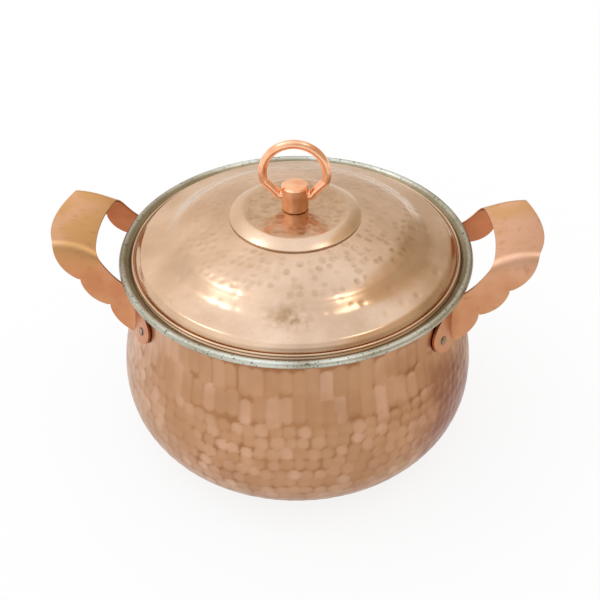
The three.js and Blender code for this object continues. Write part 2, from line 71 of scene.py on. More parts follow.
# %% Driving sizes of pot, lid and knob
RIM_HEIGHT = 131
RIM_BEAD_RADIUS = 2.2
NECK_RADIUS = 101.8
FLARE_OUT = 6
NECK_DROP = 9
BELLY_RADIUS = 116.5
BELLY_DROP = 87
BASE_RADIUS = 72
POT_WALL = 1.4
BASE_FULLNESS = 2.2
RIM_BEAD_RING = NECK_RADIUS + FLARE_OUT

LID_SEAT_TURN_SHARE = 0.55
LID_SEAT_GAP = 0.3
LID_SHEET = 1.1
LID_HEM_RADIUS = 1.2
LID_HEM_HEIGHT = 0.7
LID_RISE = 27.6
LID_OUTLINE_SHARES = np.array([
    (0, 1), (0.199, 0.974), (0.397, 0.886), (0.541, 0.77), (0.645, 0.662), (0.71, 0.562), (0.742, 0.489),
    (0.794, 0.366), (0.834, 0.305), (0.895, 0.237), (0.935, 0.194), (0.947, 0.178), (0.961, 0.138),
    (0.975, 0.096), (0.983, 0.046), (0.986, 0),
])

PLATE_RADIUS = NECK_RADIUS * 0.398
PLATE_FLAT_RADIUS = PLATE_RADIUS * 0.778
PLATE_SHEET = 1.4
PLATE_HEIGHT = 4.5
PLATE_EDGE = 0.6
PLATE_BEVEL_SHARES = np.array([(0, 1), (0.18, 0.93), (0.6, 0.52), (1, 0)])
POST_RADIUS = 8.2
POST_CHAMFER = 0.9
POST_CROWN = 0.4
SCREW_HOLE_RADIUS = 2.2
RING_WIRE_RADIUS = 2.6
PIN_CLEARANCE = 0.1
RING_LOOP_RADIUS = 19.1
RING_LOOP_HEIGHT = 15.4
RING_END_GAP = 2
RING_BEND_STAND_OFF = 1.2
RING_SHOULDER_DEGREES = 16
RING_LEG_SHARES = (0.3, 0.75)
print("rim", 2 * (RIM_BEAD_RING + RIM_BEAD_RADIUS), "mm wide, belly", 2 * BELLY_RADIUS)

# %% [markdown]
# ## From a grid of points to a mesh
#
# Every surface below is a grid: rows run along an outline or a path, columns run round it. A closed
# piece wraps round in its columns, and a hollow one, such as the plate with its hole, wraps in its rows
# too. Where a row shrinks to one point, as at a pole, the equal points are merged and the cells there
# become triangles, so that every piece is one closed skin. The sign of the enclosed volume says which way
# the faces look, and turns them outwards.

# %% Grid to closed mesh
NEARNESS = 1e-4


def volume(points, faces):
    """Six times the enclosed volume: the sum of triple products over each face's fan of triangles."""
    total = 0.0
    for step in range(1, faces.shape[1] - 1):
        a, b, c = points[faces[:, 0]], points[faces[:, step]], points[faces[:, step + 1]]
        total += np.einsum("ij,ij->", a, np.cross(b, c))
    return total


def closed_mesh(name, grid, wrap_rows=False, coat_rows=(), **attributes):
    """A mesh in metres from a (rows, columns, 3) grid in millimetres above the rim's middle.

    Each cell joins four neighbours of the grid. Points closer than NEARNESS count as one, and a cell with
    two corners in one point becomes a triangle. The next material starts at each row of coat_rows, and
    each attribute is a grid of values that is stored with the points.
    """
    rows, columns, _ = grid.shape
    row, column = np.indices((rows if wrap_rows else rows - 1, columns)).reshape(2, -1)
    corners = [(row, column), (row, column + 1), (row + 1, column + 1), (row + 1, column)]
    cells = np.stack([down % rows * columns + along % columns for down, along in corners], axis=-1)
    keys = np.round(grid.reshape(-1, 3) / NEARNESS).astype(np.int64)
    _, first, number = np.unique(keys, axis=0, return_index=True, return_inverse=True)
    points = grid.reshape(-1, 3)[first]
    cells = number.reshape(-1)[cells]
    same = cells == np.roll(cells, -1, axis=1)
    whole, folded = same.sum(axis=1) == 0, same.sum(axis=1) == 1
    left = (same[folded].argmax(axis=1)[:, None] + 1 + np.arange(3)) % 4
    faces = [cells[whole], np.take_along_axis(cells[folded], left, axis=1)]
    if sum(volume(points, part) for part in faces) < 0:
        faces = [part[:, ::-1] for part in faces]
    mesh = bpy.data.meshes.new(name)
    lifted = (points + [0, 0, RIM_HEIGHT]) * MM
    mesh.from_pydata(lifted.tolist(), [], faces[0].tolist() + faces[1].tolist())
    mesh.polygons.foreach_set("use_smooth", np.ones(len(mesh.polygons), dtype=bool))
    coat = np.searchsorted(coat_rows, row, side="right").astype(np.int32)
    mesh.polygons.foreach_set("material_index", np.concatenate([coat[whole], coat[folded]]))
    for key, values in attributes.items():
        stored = mesh.attributes.new(key, "FLOAT", "POINT")
        stored.data.foreach_set("value", values.reshape(-1)[first].astype(np.float32))
    mesh.update()
    return mesh


# %% Pieces in the scene
def put(name, data):
    """A new object in the scene, with its place in its data."""
    made = bpy.data.objects.new(name, data)
    bpy.context.scene.collection.objects.link(made)
    return made


def piece(mesh, body, slot, node, *materials):
    """Puts a mesh into the scene, on its body and in place of its CAD node."""
    made = put(mesh.name, mesh)
    for material in materials:
        mesh.materials.append(material)
    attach(made, body)
    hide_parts(node)
    print(made.name, len(mesh.vertices), "vertices", len(mesh.polygons), "faces")
    return made


# %% [markdown]
# Most outlines are lists of places in a plane. A few small functions space them evenly, move them along
# their normal, turn them round the axis or run a smooth curve through them. The curve is the usual one
# for a handful of places: on each span a cubic that meets both ends, with slopes that come from the
# neighbours, so that nothing kinks.

# %% Outlines and curves
def places_at(*coordinates):
    """Places from their coordinates, which may be arrays or single numbers that hold for all."""
    return np.stack(np.broadcast_arrays(*coordinates), axis=-1)


def arc_length(outline):
    """Distance along an outline from its first point to each point."""
    return np.concatenate([[0], np.cumsum(np.linalg.norm(np.diff(outline, axis=0), axis=1))])


def evenly(outline, spacing):
    """The same outline with its points at an even spacing."""
    length = arc_length(outline)
    steps = np.linspace(0, length[-1], round(length[-1] / spacing) + 1)
    return places_at(*[np.interp(steps, length, column) for column in outline.T])


def normals_of(outline):
    """Unit directions to the left of an outline's own direction."""
    along = np.gradient(outline, axis=0)
    along /= np.linalg.norm(along, axis=1)[:, None]
    return places_at(-along[:, 1], along[:, 0])


def arc(centre, radius, start, end, steps):
    """Points of a circle's arc from one angle to another."""
    angle = np.linspace(start, end, steps + 1)
    return places_at(centre[0] + radius * np.cos(angle), centre[1] + radius * np.sin(angle))


def turned(sideways, upright, turn):
    """Columns of (sideways, upright) carried round the Z axis to each angle of turn."""
    sideways, upright = sideways[:, None], upright[:, None]
    return places_at(sideways * np.cos(turn), sideways * np.sin(turn), upright)


def round_turn(columns):
    """Evenly spaced angles, once round."""
    return np.arange(columns) * TURN / columns


def spun(outline, columns):
    """A grid from an outline of (radius, height): every point goes once round the Z axis."""
    return turned(outline[:, 0], outline[:, 1], round_turn(columns))


def pressed(outline, columns, height):
    """A spun grid moved along the outline's normal by a height at each point."""
    normal = normals_of(outline)
    away = turned(normal[:, 0], normal[:, 1], round_turn(columns))
    return spun(outline, columns) + height[..., None] * away


def cubic(start, leave, end, arrive, t):
    """The cubic over t from 0 to 1 that starts and ends in two places with a given slope at each."""
    return (start * (2 * t ** 3 - 3 * t ** 2 + 1) + leave * (t ** 3 - 2 * t ** 2 + t)
            + end * (3 * t ** 2 - 2 * t ** 3) + arrive * (t ** 3 - t ** 2))


def smooth_curve(places, knots, steps):
    """Cubics through places at given knots, with slopes from the neighbouring chords."""
    slope = np.gradient(places, knots, axis=0)
    t = np.linspace(0, knots[-1], steps)
    span = np.clip(np.searchsorted(knots, t, side="right") - 1, 0, len(knots) - 2)
    width = (knots[span + 1] - knots[span])[:, None]
    share = (t - knots[span])[:, None] / width
    return cubic(places[span], slope[span] * width, places[span + 1], slope[span + 1] * width, share)


# %% [markdown]
# ## Colours and the node helper
#
# Colours are written as sRGB hex values, as read off a screen, and one function turns them linear. One
# small function adds a node with its settings and its links, and gives back one output, so that nodes can
# be written inside each other like a recipe. Two patterns come back in every finish: clouds, because no
# old metal is even, and coats of colour that lie over each other, each with its own share.

# %% Colour and node helpers
def linear(hex_colour):
    """Linear RGBA of an sRGB hex colour: straight near black, and a power of 2.4 above."""
    channels = [int(hex_colour[i:i + 2], 16) / 255 for i in (1, 3, 5)]
    return tuple(c / 12.92 if c <= 0.04045 else ((c + 0.055) / 1.055) ** 2.4 for c in channels) + (1.0,)


def add(tree, kind, inputs=(), out=0, **settings):
    """Adds a node and gives back one of its outputs.

    Settings are the node's own properties. An input gets a link where its value is another node's output,
    and else a fixed value, which may be a hex colour.
    """
    node = tree.nodes.new("ShaderNode" + kind)
    for key, value in settings.items():
        setattr(node, key, value)
    for key, value in inputs.items() if isinstance(inputs, dict) else enumerate(inputs):
        if isinstance(value, bpy.types.NodeSocket):
            tree.links.new(value, node.inputs[key])
        else:
            node.inputs[key].default_value = linear(value) if isinstance(value, str) else value
    return node.outputs[out]


def clouds(tree, size_mm, low=0.0, high=1.0, start=0.0, end=1.0, detail=3.0):
    """A value that drifts from start to end in lumps of size_mm: noise on Object coordinates.

    Noise up to low gives start, noise from high on gives end.
    """
    lumps = {"Vector": add(tree, "TexCoord", out="Object"), "Scale": 1 / (size_mm * MM), "Detail": detail}
    return add(tree, "MapRange", [add(tree, "TexNoise", lumps, out="Fac"), low, high, start, end])


def coats(tree, ground, *layers):
    """Colours laid over a ground one after another, each mixed in by its own share."""
    for share, colour in layers:
        ground = add(tree, "Mix", {0: share, 6: ground, 7: colour}, out=2, data_type="RGBA")
    return ground


def metal(name, colour, roughness):
    """A new metal: full metallic, default IOR, one colour and one roughness to start from."""
    made = bpy.data.materials.new(name)
    made.use_nodes = True
    plain = {"Metallic": 1.0, "Base Color": linear(colour), "Roughness": roughness}
    for socket, value in plain.items():
        made.node_tree.nodes["Principled BSDF"].inputs[socket].default_value = value
    return made, made.node_tree


def finished(made, sources):
    """Links what varies over the surface to the shader's sockets, and returns the material."""
    for socket, source in sources.items():
        made.node_tree.links.new(source, made.node_tree.nodes["Principled BSDF"].inputs[socket])
    print("made", made.name)
    return made


# %% [markdown]
# ## Hammered copper
#
# Copper sheet, worked cold with a round-faced hammer and lightly polished afterwards. Every blow leaves a
# shallow bowl. The bowls are painted paler than the browner land between them, a painted reflection of the
# light that each hollow gathers, so the eye sees soft pale discs on a darker ground. Each bowl is also a
# small mirror that leans its own way. Two attributes of the mesh carry this: `bowl` is 1 in a bowl and
# falls off at its edge, and `blow` is one chance value for each bowl, which paints some bowls paler still
# as painted glints. On the side towards the right-hand front the sheet is painted a darker, redder brown,
# with an uneven border: painted shade for the shadowed floor that this side reflects. The grain of a
# polish is finer than a pixel, so it is drawn about a millimetre coarse, and only just deep enough to
# soften the reflections.

# %% Hammered copper
# Painted shade towards the right-hand front: a darker, redder brown for the shadowed floor that this side
# reflects.
PAINTED_SHADE_SIDE = (0.906, -0.423, 0)
PAINTED_SHADE_FROM, PAINTED_SHADE_TO = 116 * MM, 127 * MM
PAINTED_SHADE_BORDER = 25 * MM


def hammered_copper():
    """Two browns for the land, two paler tones that paint the bowls' reflection, and a red painted shade
    from a wavy border.
    """
    made, tree = metal("hammered_copper_sheet", "#B98C69", 0.36)
    bowl, blow = [add(tree, "Attribute", attribute_name=name, out="Fac") for name in ("bowl", "blow")]
    land = coats(tree, "#9B6A47", (clouds(tree, 55, 0.38, 0.62, detail=2), "#AA7B56"))
    dulled = clouds(tree, 28, 0.4, 0.65, 0, 0.45, detail=2)
    # Painted reflection: the bowls are paler than the land, and the chance value paints a few paler still
    # as glints.
    struck = coats(tree, "#BA8D69", (blow, "#CCA284"), (dulled, land))
    place = add(tree, "TexCoord", out="Object")
    towards = add(tree, "VectorMath", [place, PAINTED_SHADE_SIDE], out="Value", operation="DOT_PRODUCT")
    wavy = add(tree, "Math", [clouds(tree, 18, detail=4), PAINTED_SHADE_BORDER, towards], operation="MULTIPLY_ADD")
    # Painted shade: the sheet turns a darker, redder brown towards the right-hand front.
    painted_shade = add(tree, "MapRange", [wavy, PAINTED_SHADE_FROM, PAINTED_SHADE_TO, 0, 0.9])
    grain = {"Strength": 0.12, "Distance": 0.05 * MM, "Height": clouds(tree, 0.9, detail=4)}
    return finished(made, {
        "Base Color": coats(tree, land, (bowl, struck), (painted_shade, "#854F37")),
        "Roughness": clouds(tree, 12, 0.3, 0.7, 0.26, 0.36),
        "Normal": add(tree, "Bump", grain, out="Normal"),
    })


HAMMERED = hammered_copper()

# %% [markdown]
# ## Tin
#
# The inside and the rolled rim are tinned: molten tin is wiped over the copper with a cloth. On the rim it
# is a cool light grey with a faint green cast and small dark pits where it has worn. Towards the sides,
# beside the handles, it is painted a darker olive: painted shade for the darker room that the sides of the
# rim reflect. Inside, the same tin is a duller, darker brown.

# %% Wiped tin
SIDE_SHADE_FROM, SIDE_SHADE_TO = 55 * MM, 105 * MM


def wiped_tin(name, low, high, roughness, worn):
    """A clouded coat from low to high, painted shade out to the sides, pits as dark as worn says."""
    made, tree = metal(name, high, roughness)
    cloudy = clouds(tree, 34, 0.32, 0.58, detail=5)
    sideways = add(tree, "SeparateXYZ", [add(tree, "TexCoord", out="Object")], out="X")
    sideways = add(tree, "Math", [sideways], operation="ABSOLUTE")
    # Painted shade: a darker olive further out to the sides, for the darker room they reflect.
    side_shade = add(tree, "MapRange", [sideways, SIDE_SHADE_FROM, SIDE_SHADE_TO, 0, 0.6])
    pits = clouds(tree, 1.5, 0.6, 0.68, 0, worn)
    return finished(made, {
        "Base Color": coats(tree, low, (cloudy, high), (side_shade, "#857A60"), (pits, "#4A453C")),
        "Roughness": clouds(tree, 6, 0.3, 0.7, roughness - 0.06, roughness + 0.08),
    })


TIN = wiped_tin("wiped_tin", "#A09A85", "#CFD0C4", 0.4, 0.85)
INNER_TIN = wiped_tin("inner_tin", "#827459", "#A19275", 0.48, 0.3)

# %% [markdown]
# ## The outline of the pot
#
# The outer face runs from the edge of the flat base round a full corner to the belly, up the shoulder
# in half a cosine wave to the neck, and out over a quarter of an ellipse to the rim. There it enters the
# round bead, which is followed nearly all the way round, and the inner face comes back down one wall
# thickness inside the outer one.

# %% Pot outline
ROW_SPACING = 1.3
OUTLINE_STEPS = 400


def shoulder_radius(height):
    """Radius between belly and neck: half a cosine wave over the height between the two."""
    share = (-NECK_DROP - height) / (BELLY_DROP - NECK_DROP)
    return NECK_RADIUS + (BELLY_RADIUS - NECK_RADIUS) * (1 - np.cos(np.pi * share)) / 2


def outer_face():
    """Dense outline of the outer face: base corner as a superellipse, shoulder wave, flare ellipse."""
    turn = np.linspace(0, QUARTER, OUTLINE_STEPS)
    out = np.sin(turn) ** (2 / BASE_FULLNESS)
    down = np.clip(np.cos(turn), 0, 1) ** (2 / BASE_FULLNESS)
    corner = places_at(BASE_RADIUS + (BELLY_RADIUS - BASE_RADIUS) * out,
                       -BELLY_DROP - (RIM_HEIGHT - BELLY_DROP) * down)
    height = np.linspace(-BELLY_DROP, -NECK_DROP, OUTLINE_STEPS)[1:]
    shoulder = places_at(shoulder_radius(height), height)
    flare = places_at(NECK_RADIUS + FLARE_OUT * (1 - np.cos(turn)), -NECK_DROP + NECK_DROP * np.sin(turn))
    return np.concatenate([corner, shoulder, flare[1:]])


def until_bead(outline):
    """Cuts an outline where it comes within the bead's radius of the bead's middle."""
    away = np.hypot(outline[:, 0] - RIM_BEAD_RING, outline[:, 1])
    return outline[away > RIM_BEAD_RADIUS]


outer = until_bead(outer_face())
inner = until_bead(outer_face() + POT_WALL * normals_of(outer_face()))
hammered_rows = evenly(outer, ROW_SPACING)
print("outer face", len(hammered_rows), "rows,", round(arc_length(outer)[-1], 1), "mm long")

# %% [markdown]
# ## The hammer marks
#
# The smith turns the pot on a stake and strikes it row by row. Two rows of long blows run down the neck
# and the shoulder, and rows of round blows, staggered like scales, go round the belly. One blow is a
# capsule-shaped bowl: its depth depends on the distance from a short upright line and runs out smoothly
# at the edge. Where bowls overlap the deeper one wins, which leaves a curved ridge between them, exactly
# as on the real sheet. The rows wander a little, and small chance changes of place, size, depth and lean,
# from a seeded generator, keep the pattern from looking printed. A bump in the material would be quicker
# to make, but it leaves the outline smooth and is lost where only the mesh is kept.

# %% Hammer marks as a height over the surface
def bowls(outline, columns, rows, width, seed, skip=0.0, lean=0.06, wander=0.0, scatter=0.24, start=0.0):
    """Height, share of bowl and chance value at each point of a spun grid.

    Rows holds (place along the outline, half length of the straight part, reach, depth, stagger). In
    each row the bowls stand a whole number of times round, about one width apart, and skip is the share
    left out. With d the distance from a bowl's middle line over its reach, its height is
    -depth * (1 - d ** 2) ** 2, tilted by its own lean, and its share is 1 - d ** 6. Chance shifts each
    bowl and changes its length and depth by up to 30% and its reach by up to 10%, either way.
    """
    chance = np.random.default_rng(seed)
    turn = round_turn(columns)[None, :]
    along = (start + arc_length(outline))[:, None]
    radius = outline[:, 0][:, None]
    lowest = np.zeros((len(outline), columns))
    share = np.zeros_like(lowest)
    winner = np.full_like(lowest, 0.5)
    sway = wander * (np.sin(2 * turn + 0.9) + 0.5 * np.sin(5 * turn + 2.0))
    for place, straight, reach, depth, stagger in rows:
        near = np.abs(along[:, 0] - place) < 1.6 * straight + 2 * reach + 2 * wander
        ring = radius[int(np.argmin(np.abs(along[:, 0] - place))), 0]
        count = round(TURN * ring / width)
        shift, drift, grow, deep, lean_x, lean_y, value, keep = chance.random((8, count))
        column = turn / TURN * count - stagger
        for neighbour in (-1, 0, 1):
            number = np.floor(column).astype(int) + neighbour
            cell = number % count
            middle = number + 0.5 + scatter * (shift[cell] - 0.5)
            across = (column - middle) * TURN / count * radius[near]
            up = along[near] - place - sway - (0.45 * reach + 0.55 * straight) * (drift[cell] - 0.5)
            beyond = np.maximum(np.abs(up) - straight * (0.7 + 0.6 * grow[cell]), 0)
            distance = np.sqrt(across ** 2 + beyond ** 2) / (reach * (0.9 + 0.2 * grow[cell]))
            inside = np.clip(1 - distance ** 2, 0, 1) ** 2
            held = np.clip(up, -reach, reach)
            tilt = lean * ((lean_x[cell] - 0.5) * across + (lean_y[cell] - 0.5) * held)
            bowl = np.minimum((tilt - depth * (0.7 + 0.6 * deep[cell])) * inside, 0)
            bowl = np.where(keep[cell] < skip, 0, bowl)
            better = bowl < lowest[near]
            winner[near] = np.where(better, value[cell], winner[near])
            share[near] = np.where(better, np.clip(1 - distance ** 6, 0, 1), share[near])
            lowest[near] = np.where(better, bowl, lowest[near])
    return lowest, share, winner


BLOW_WIDTH = 7.9
TALL_ROWS = [(211.5, 6, 4.8, 0.3, 0.0), (193.5, 6.5, 4.8, 0.36, 0.35)]
ROUND_ROWS = [(place, 0.3, 4.6, depth, stagger) for place, depth, stagger in zip(
    np.arange(180, 100, -7.4), np.linspace(0.36, 0.16, 11), (0.1, 0.6) * 6)]
blow_rows = TALL_ROWS + ROUND_ROWS
print(len(blow_rows), "rows of blows,", round(TURN * BELLY_RADIUS / BLOW_WIDTH), "round the belly")

# %% [markdown]
# ## The pot
#
# The bowls are pressed into the outer face along its normal, so they only ever go inwards and the pot
# keeps its outer size. The bead, the inner face and the base close the shell. The bead's rows get the
# light tin, the rows of the inside the darker inner tin, and all others the hammered copper. The lip just
# inside the bead shows in the gap round the lid, so its rows are closer together than those further down.
# The chance value of each blow is squared, so that pale blows, the painted glints, are rare.

# %% Build the pot
POT_SEED = 7
POT_COLUMNS = 448
BEAD_STEPS = 24
BASE_SPACING = 12
LIP_SPACING = 1.2
LIP_ROWS = 9
LINING_STRIDE = 8


def padded(values, before, after):
    """A grid of values with rows of zeros before and after it, where nothing was struck."""
    return np.pad(values, ((before, after), (0, 0)))


def build_pot():
    """One grid from the middle of the base outside, over the bead, to the middle of the base inside."""
    height, bowl, blow = bowls(hammered_rows, POT_COLUMNS, blow_rows, BLOW_WIDTH, POT_SEED, wander=2.2,
                               start=BASE_RADIUS)
    base = places_at(np.arange(0, BASE_RADIUS, BASE_SPACING), -RIM_HEIGHT)
    enter, leave = [math.atan2(end[1], end[0] - RIM_BEAD_RING) for end in (outer[-1], inner[-1])]
    bead = arc((RIM_BEAD_RING, 0), RIM_BEAD_RADIUS, enter, leave, BEAD_STEPS)[1:-1]
    fine = evenly(inner, LIP_SPACING)[::-1]
    lining = np.concatenate([fine[:LIP_ROWS], fine[LIP_ROWS:-1:LINING_STRIDE], fine[-1:]])
    floor = np.array([(BASE_RADIUS / 2, -RIM_HEIGHT + POT_WALL), (0, -RIM_HEIGHT + POT_WALL)])
    tinned = np.concatenate([bead, lining, floor])
    struck = pressed(hammered_rows, POT_COLUMNS, -height)
    grid = np.concatenate([spun(base, POT_COLUMNS), struck, spun(tinned, POT_COLUMNS)])
    copper_rows = len(base) + len(struck)
    mesh = closed_mesh("pot", grid, coat_rows=(copper_rows, copper_rows + len(bead)),
                       bowl=padded(bowl, len(base), len(tinned)),
                       blow=padded(blow ** 2, len(base), len(tinned)))
    piece(mesh, "pot", "hammered_copper", "pot_body", HAMMERED, TIN, INNER_TIN)


build_pot()

# %% [markdown]
# ## Lid copper
#
# The same copper as the pot, but struck more lightly and then polished on a wheel, so it is paler and
# smoother, with a few tiny pits. The polish doesn't reach down into the small dents, which hold an uneven
# brown. Here the attribute `bowl` says how brown a place is.

# %% Polished lid copper
def polished_sheet(name, low, high, roughness):
    """A clouded copper from low to high, with an uneven brown where `bowl` asks for it, and tiny pits."""
    made, tree = metal(name, high, roughness)
    bowl = add(tree, "Attribute", attribute_name="bowl", out="Fac")
    uneven = clouds(tree, 5, 0.35, 0.65, 0.35, 1.5, detail=4)
    uneven = add(tree, "Math", [bowl, uneven], operation="MULTIPLY")
    browned = add(tree, "MapRange", [uneven, 0, 2, 0, 0.8])
    patina = clouds(tree, 30, 0.35, 0.65)
    pits = clouds(tree, 1.3, 0.66, 0.74, 0, 0.4)
    grain = {"Strength": 0.1, "Distance": 0.04 * MM, "Height": clouds(tree, 0.8)}
    return finished(made, {
        "Base Color": coats(tree, low, (patina, high), (browned, "#96724C"), (pits, "#7A5233")),
        "Roughness": clouds(tree, 9, 0.3, 0.7, roughness - 0.05, roughness + 0.06),
        "Normal": add(tree, "Bump", grain, out="Normal"),
    })


LID_COPPER = polished_sheet("polished_lid_copper", "#C5A486", "#D6B79B", 0.2)
PLATE_COPPER = polished_sheet("polished_plate_copper", "#CCAB8D", "#D8BA9D", 0.24)

# %% [markdown]
# ## The lid
#
# The lid is pressed over a form: a broad dome, a steep riser, a gentle shoulder and a short skirt that
# ends in a folded hem. Its outline is a smooth curve through a few places. The hem is folded over a thin
# wire: its outline dips into a fine groove, goes over the wire, down a skirt that slants outwards and
# round its foot, and the underside returns one sheet below the top. The foot sits on the pot's flare.

# %% Lid outline
LID_ROW_SPACING = 0.72
LID_CURVE_STEPS = 1200


def hem_seat():
    """Middle of the hem's foot: off the inner face of the flare by sheet, gap and the hem's radius."""
    turn = QUARTER * LID_SEAT_TURN_SHARE
    place = np.array([NECK_RADIUS + FLARE_OUT * (1 - math.cos(turn)), NECK_DROP * (math.sin(turn) - 1)])
    tangent = np.array([FLARE_OUT * math.sin(turn), NECK_DROP * math.cos(turn)])
    tangent /= np.linalg.norm(tangent)
    away = POT_WALL + LID_SEAT_GAP + LID_HEM_RADIUS
    return place + away * np.array([-tangent[1], tangent[0]])


def outside_hem(outline):
    """Cuts an outline where it enters the hem's capsule."""
    middle = np.clip(outline[:, 1], HEM_LOW, HEM_TOP)
    away = np.hypot(outline[:, 0] - HEM_RING, outline[:, 1] - middle)
    return outline[: int(np.argmax(away < LID_HEM_RADIUS)) or len(outline)]


HEM_RING, HEM_LOW = hem_seat()
HEM_TOP = HEM_LOW + LID_HEM_HEIGHT
lid_places = LID_OUTLINE_SHARES * [HEM_RING, LID_RISE - HEM_TOP] + [0, HEM_TOP]
lid_curve = smooth_curve(lid_places, np.arange(len(lid_places)), LID_CURVE_STEPS)
lid_top = evenly(outside_hem(lid_curve), LID_ROW_SPACING)
lid_under = outside_hem(lid_curve - LID_SHEET * normals_of(lid_curve))
print("lid top", len(lid_top), "rows, hem ring radius", round(float(HEM_RING), 2))

# %% [markdown]
# The lid's dents stand in rings between the plate and the riser, with a few strays on the riser and the
# shoulder. They use the same bowls as the pot, only smaller and shallower: a shape holds half a length, a
# reach and a depth. Their brown is painted deeper on one side, a painted shade for the darker reflections
# the dents show there, and one brown stain, a soft oval, lies at the front, round the foot of the riser.

# %% Build the lid
LID_SEED, STRAY_SEED = 11, 12
LID_COLUMNS = 432
DENT_WIDTH = 6.0
DENT_SHAPE = (0.2, 2.6, 0.13)
DENT_RINGS = (44.8, 49.8, 54.8, 59.8, 64.8, 69.8)
STRAY_WIDTH = 9.6
STRAY_SHAPE = (0.3, 2.9, 0.12)
STRAY_RINGS = (74.5, 80.0, 91.0)
DENT_SHADE_SIDE = -0.9
STAIN_PLACE = (1, -81)
STAIN_SIZE = (13, 7)
STAIN_DEPTH = 1.5
HEM_WIRE = 0.85
HEM_WIRE_INSET = 0.05
HEM_WIRE_FROM, HEM_WIRE_TO = 2.4 * QUARTER, -0.69 * QUARTER
HEM_GROOVE = ((0.08, -0.2), (-0.25, -0.25))
HEM_SKIRT_START = (0.05, -0.05)
HEM_SKIRT_SPACING = 0.3
HEM_FOOT = 0.45
HEM_FOOT_DROP = 0.7
LID_UNDER_SPACING = 4


def row_at(ring):
    """Distance along the lid's top at which it reaches a radius."""
    return float(np.interp(ring, lid_top[:, 0], arc_length(lid_top)))


def hem_and_underside():
    """From the groove behind the wire over the hem, round its foot and back to the middle below.

    The small steps, in tenths of a millimetre, give the fold its groove and its skirt the slant.
    """
    wire = (HEM_RING - HEM_WIRE_INSET, HEM_TOP + LID_HEM_RADIUS - HEM_WIRE)
    over = arc(wire, HEM_WIRE, HEM_WIRE_FROM, HEM_WIRE_TO, 16)
    groove = np.array([(lid_top[-1, 0], HEM_TOP), (over[0, 0], HEM_TOP)]) + HEM_GROOVE
    foot = (HEM_RING + LID_HEM_RADIUS - HEM_FOOT, HEM_LOW - HEM_FOOT_DROP)
    skirt = np.array([over[-1] + HEM_SKIRT_START, (foot[0] + HEM_FOOT, foot[1] + 0.2 * HEM_FOOT)])
    skirt = evenly(skirt, HEM_SKIRT_SPACING)
    under = arc(foot, HEM_FOOT, 0, -QUARTER, 6)
    inside = arc((HEM_RING, HEM_LOW), LID_HEM_RADIUS, -QUARTER - 0.3, -0.8 * math.pi, 3)
    back = evenly(lid_under, LID_UNDER_SPACING)[::-1]
    rest = np.concatenate([groove, over, skirt, under, inside, back])
    rest[-1, 0] = 0
    return rest


def build_lid():
    """Dents and strays pressed into the top, brown in the dents and in an oval bell for the stain."""
    dents = [(row_at(ring), *DENT_SHAPE, 0.5 * (i % 2)) for i, ring in enumerate(DENT_RINGS)]
    strays = [(row_at(ring), *STRAY_SHAPE, 0.3) for ring in STRAY_RINGS]
    height, bowl, value = bowls(lid_top, LID_COLUMNS, dents, DENT_WIDTH, LID_SEED, skip=0.3, wander=1.5,
                                scatter=0.6)
    stray, _, _ = bowls(lid_top, LID_COLUMNS, strays, STRAY_WIDTH, STRAY_SEED, skip=0.5, wander=1.0,
                        scatter=0.8)
    turn = round_turn(LID_COLUMNS)
    # Painted shade: the dents' brown is deepest on one side of the lid and fades round the other.
    browned = bowl ** 2 * (0.35 + 0.65 * value) * (0.25 + 0.75 * np.clip(np.cos(turn - DENT_SHADE_SIDE), 0, 1))
    off_stain = (spun(lid_top, LID_COLUMNS)[..., :2] - STAIN_PLACE) / STAIN_SIZE
    browned = browned + STAIN_DEPTH * np.exp(-(off_stain ** 2).sum(axis=-1))
    rest = hem_and_underside()
    top = pressed(lid_top, LID_COLUMNS, np.minimum(height, stray))
    grid = np.concatenate([top, spun(rest, LID_COLUMNS)])
    mesh = closed_mesh("lid", grid, bowl=padded(browned, 0, len(rest)))
    piece(mesh, "lid", "lid_copper", "lid_shell", LID_COPPER)


build_lid()

# %% [markdown]
# ## The plate
#
# A pressed disc that covers the crown of the lid: a flat top with light hammer marks, a polished bevel
# and a thin upright edge, whose foot draws the crisp dark line on the lid. The whole flat top is painted
# browner than the bevel, a painted reflection that makes the bevel, which faces the bright sky, look
# paler. Its outline closes on itself round the hole for the screw, so the grid wraps both ways.

# %% Build the plate
PLATE_SEED = 21
PLATE_COLUMNS = 320
PLATE_STEPS = 60
PLATE_ROW_SPACING = 0.55
PLATE_UNDER_SPACING = 3
PLATE_UNDER_START = 6
PLATE_ROUNDING = 0.3
PLATE_MARK_WIDTH = 5.0
PLATE_MARKS = [(place, 0.4, 2.7, 0.1, 0.5 * (i % 2)) for i, place in enumerate(np.arange(7.0, 29.0, 4.4))]


def low_and_top(node):
    """Lowest and highest height of a node's box, in millimetres from the rim's middle."""
    return [corner[2] / MM - RIM_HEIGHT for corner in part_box(node)]


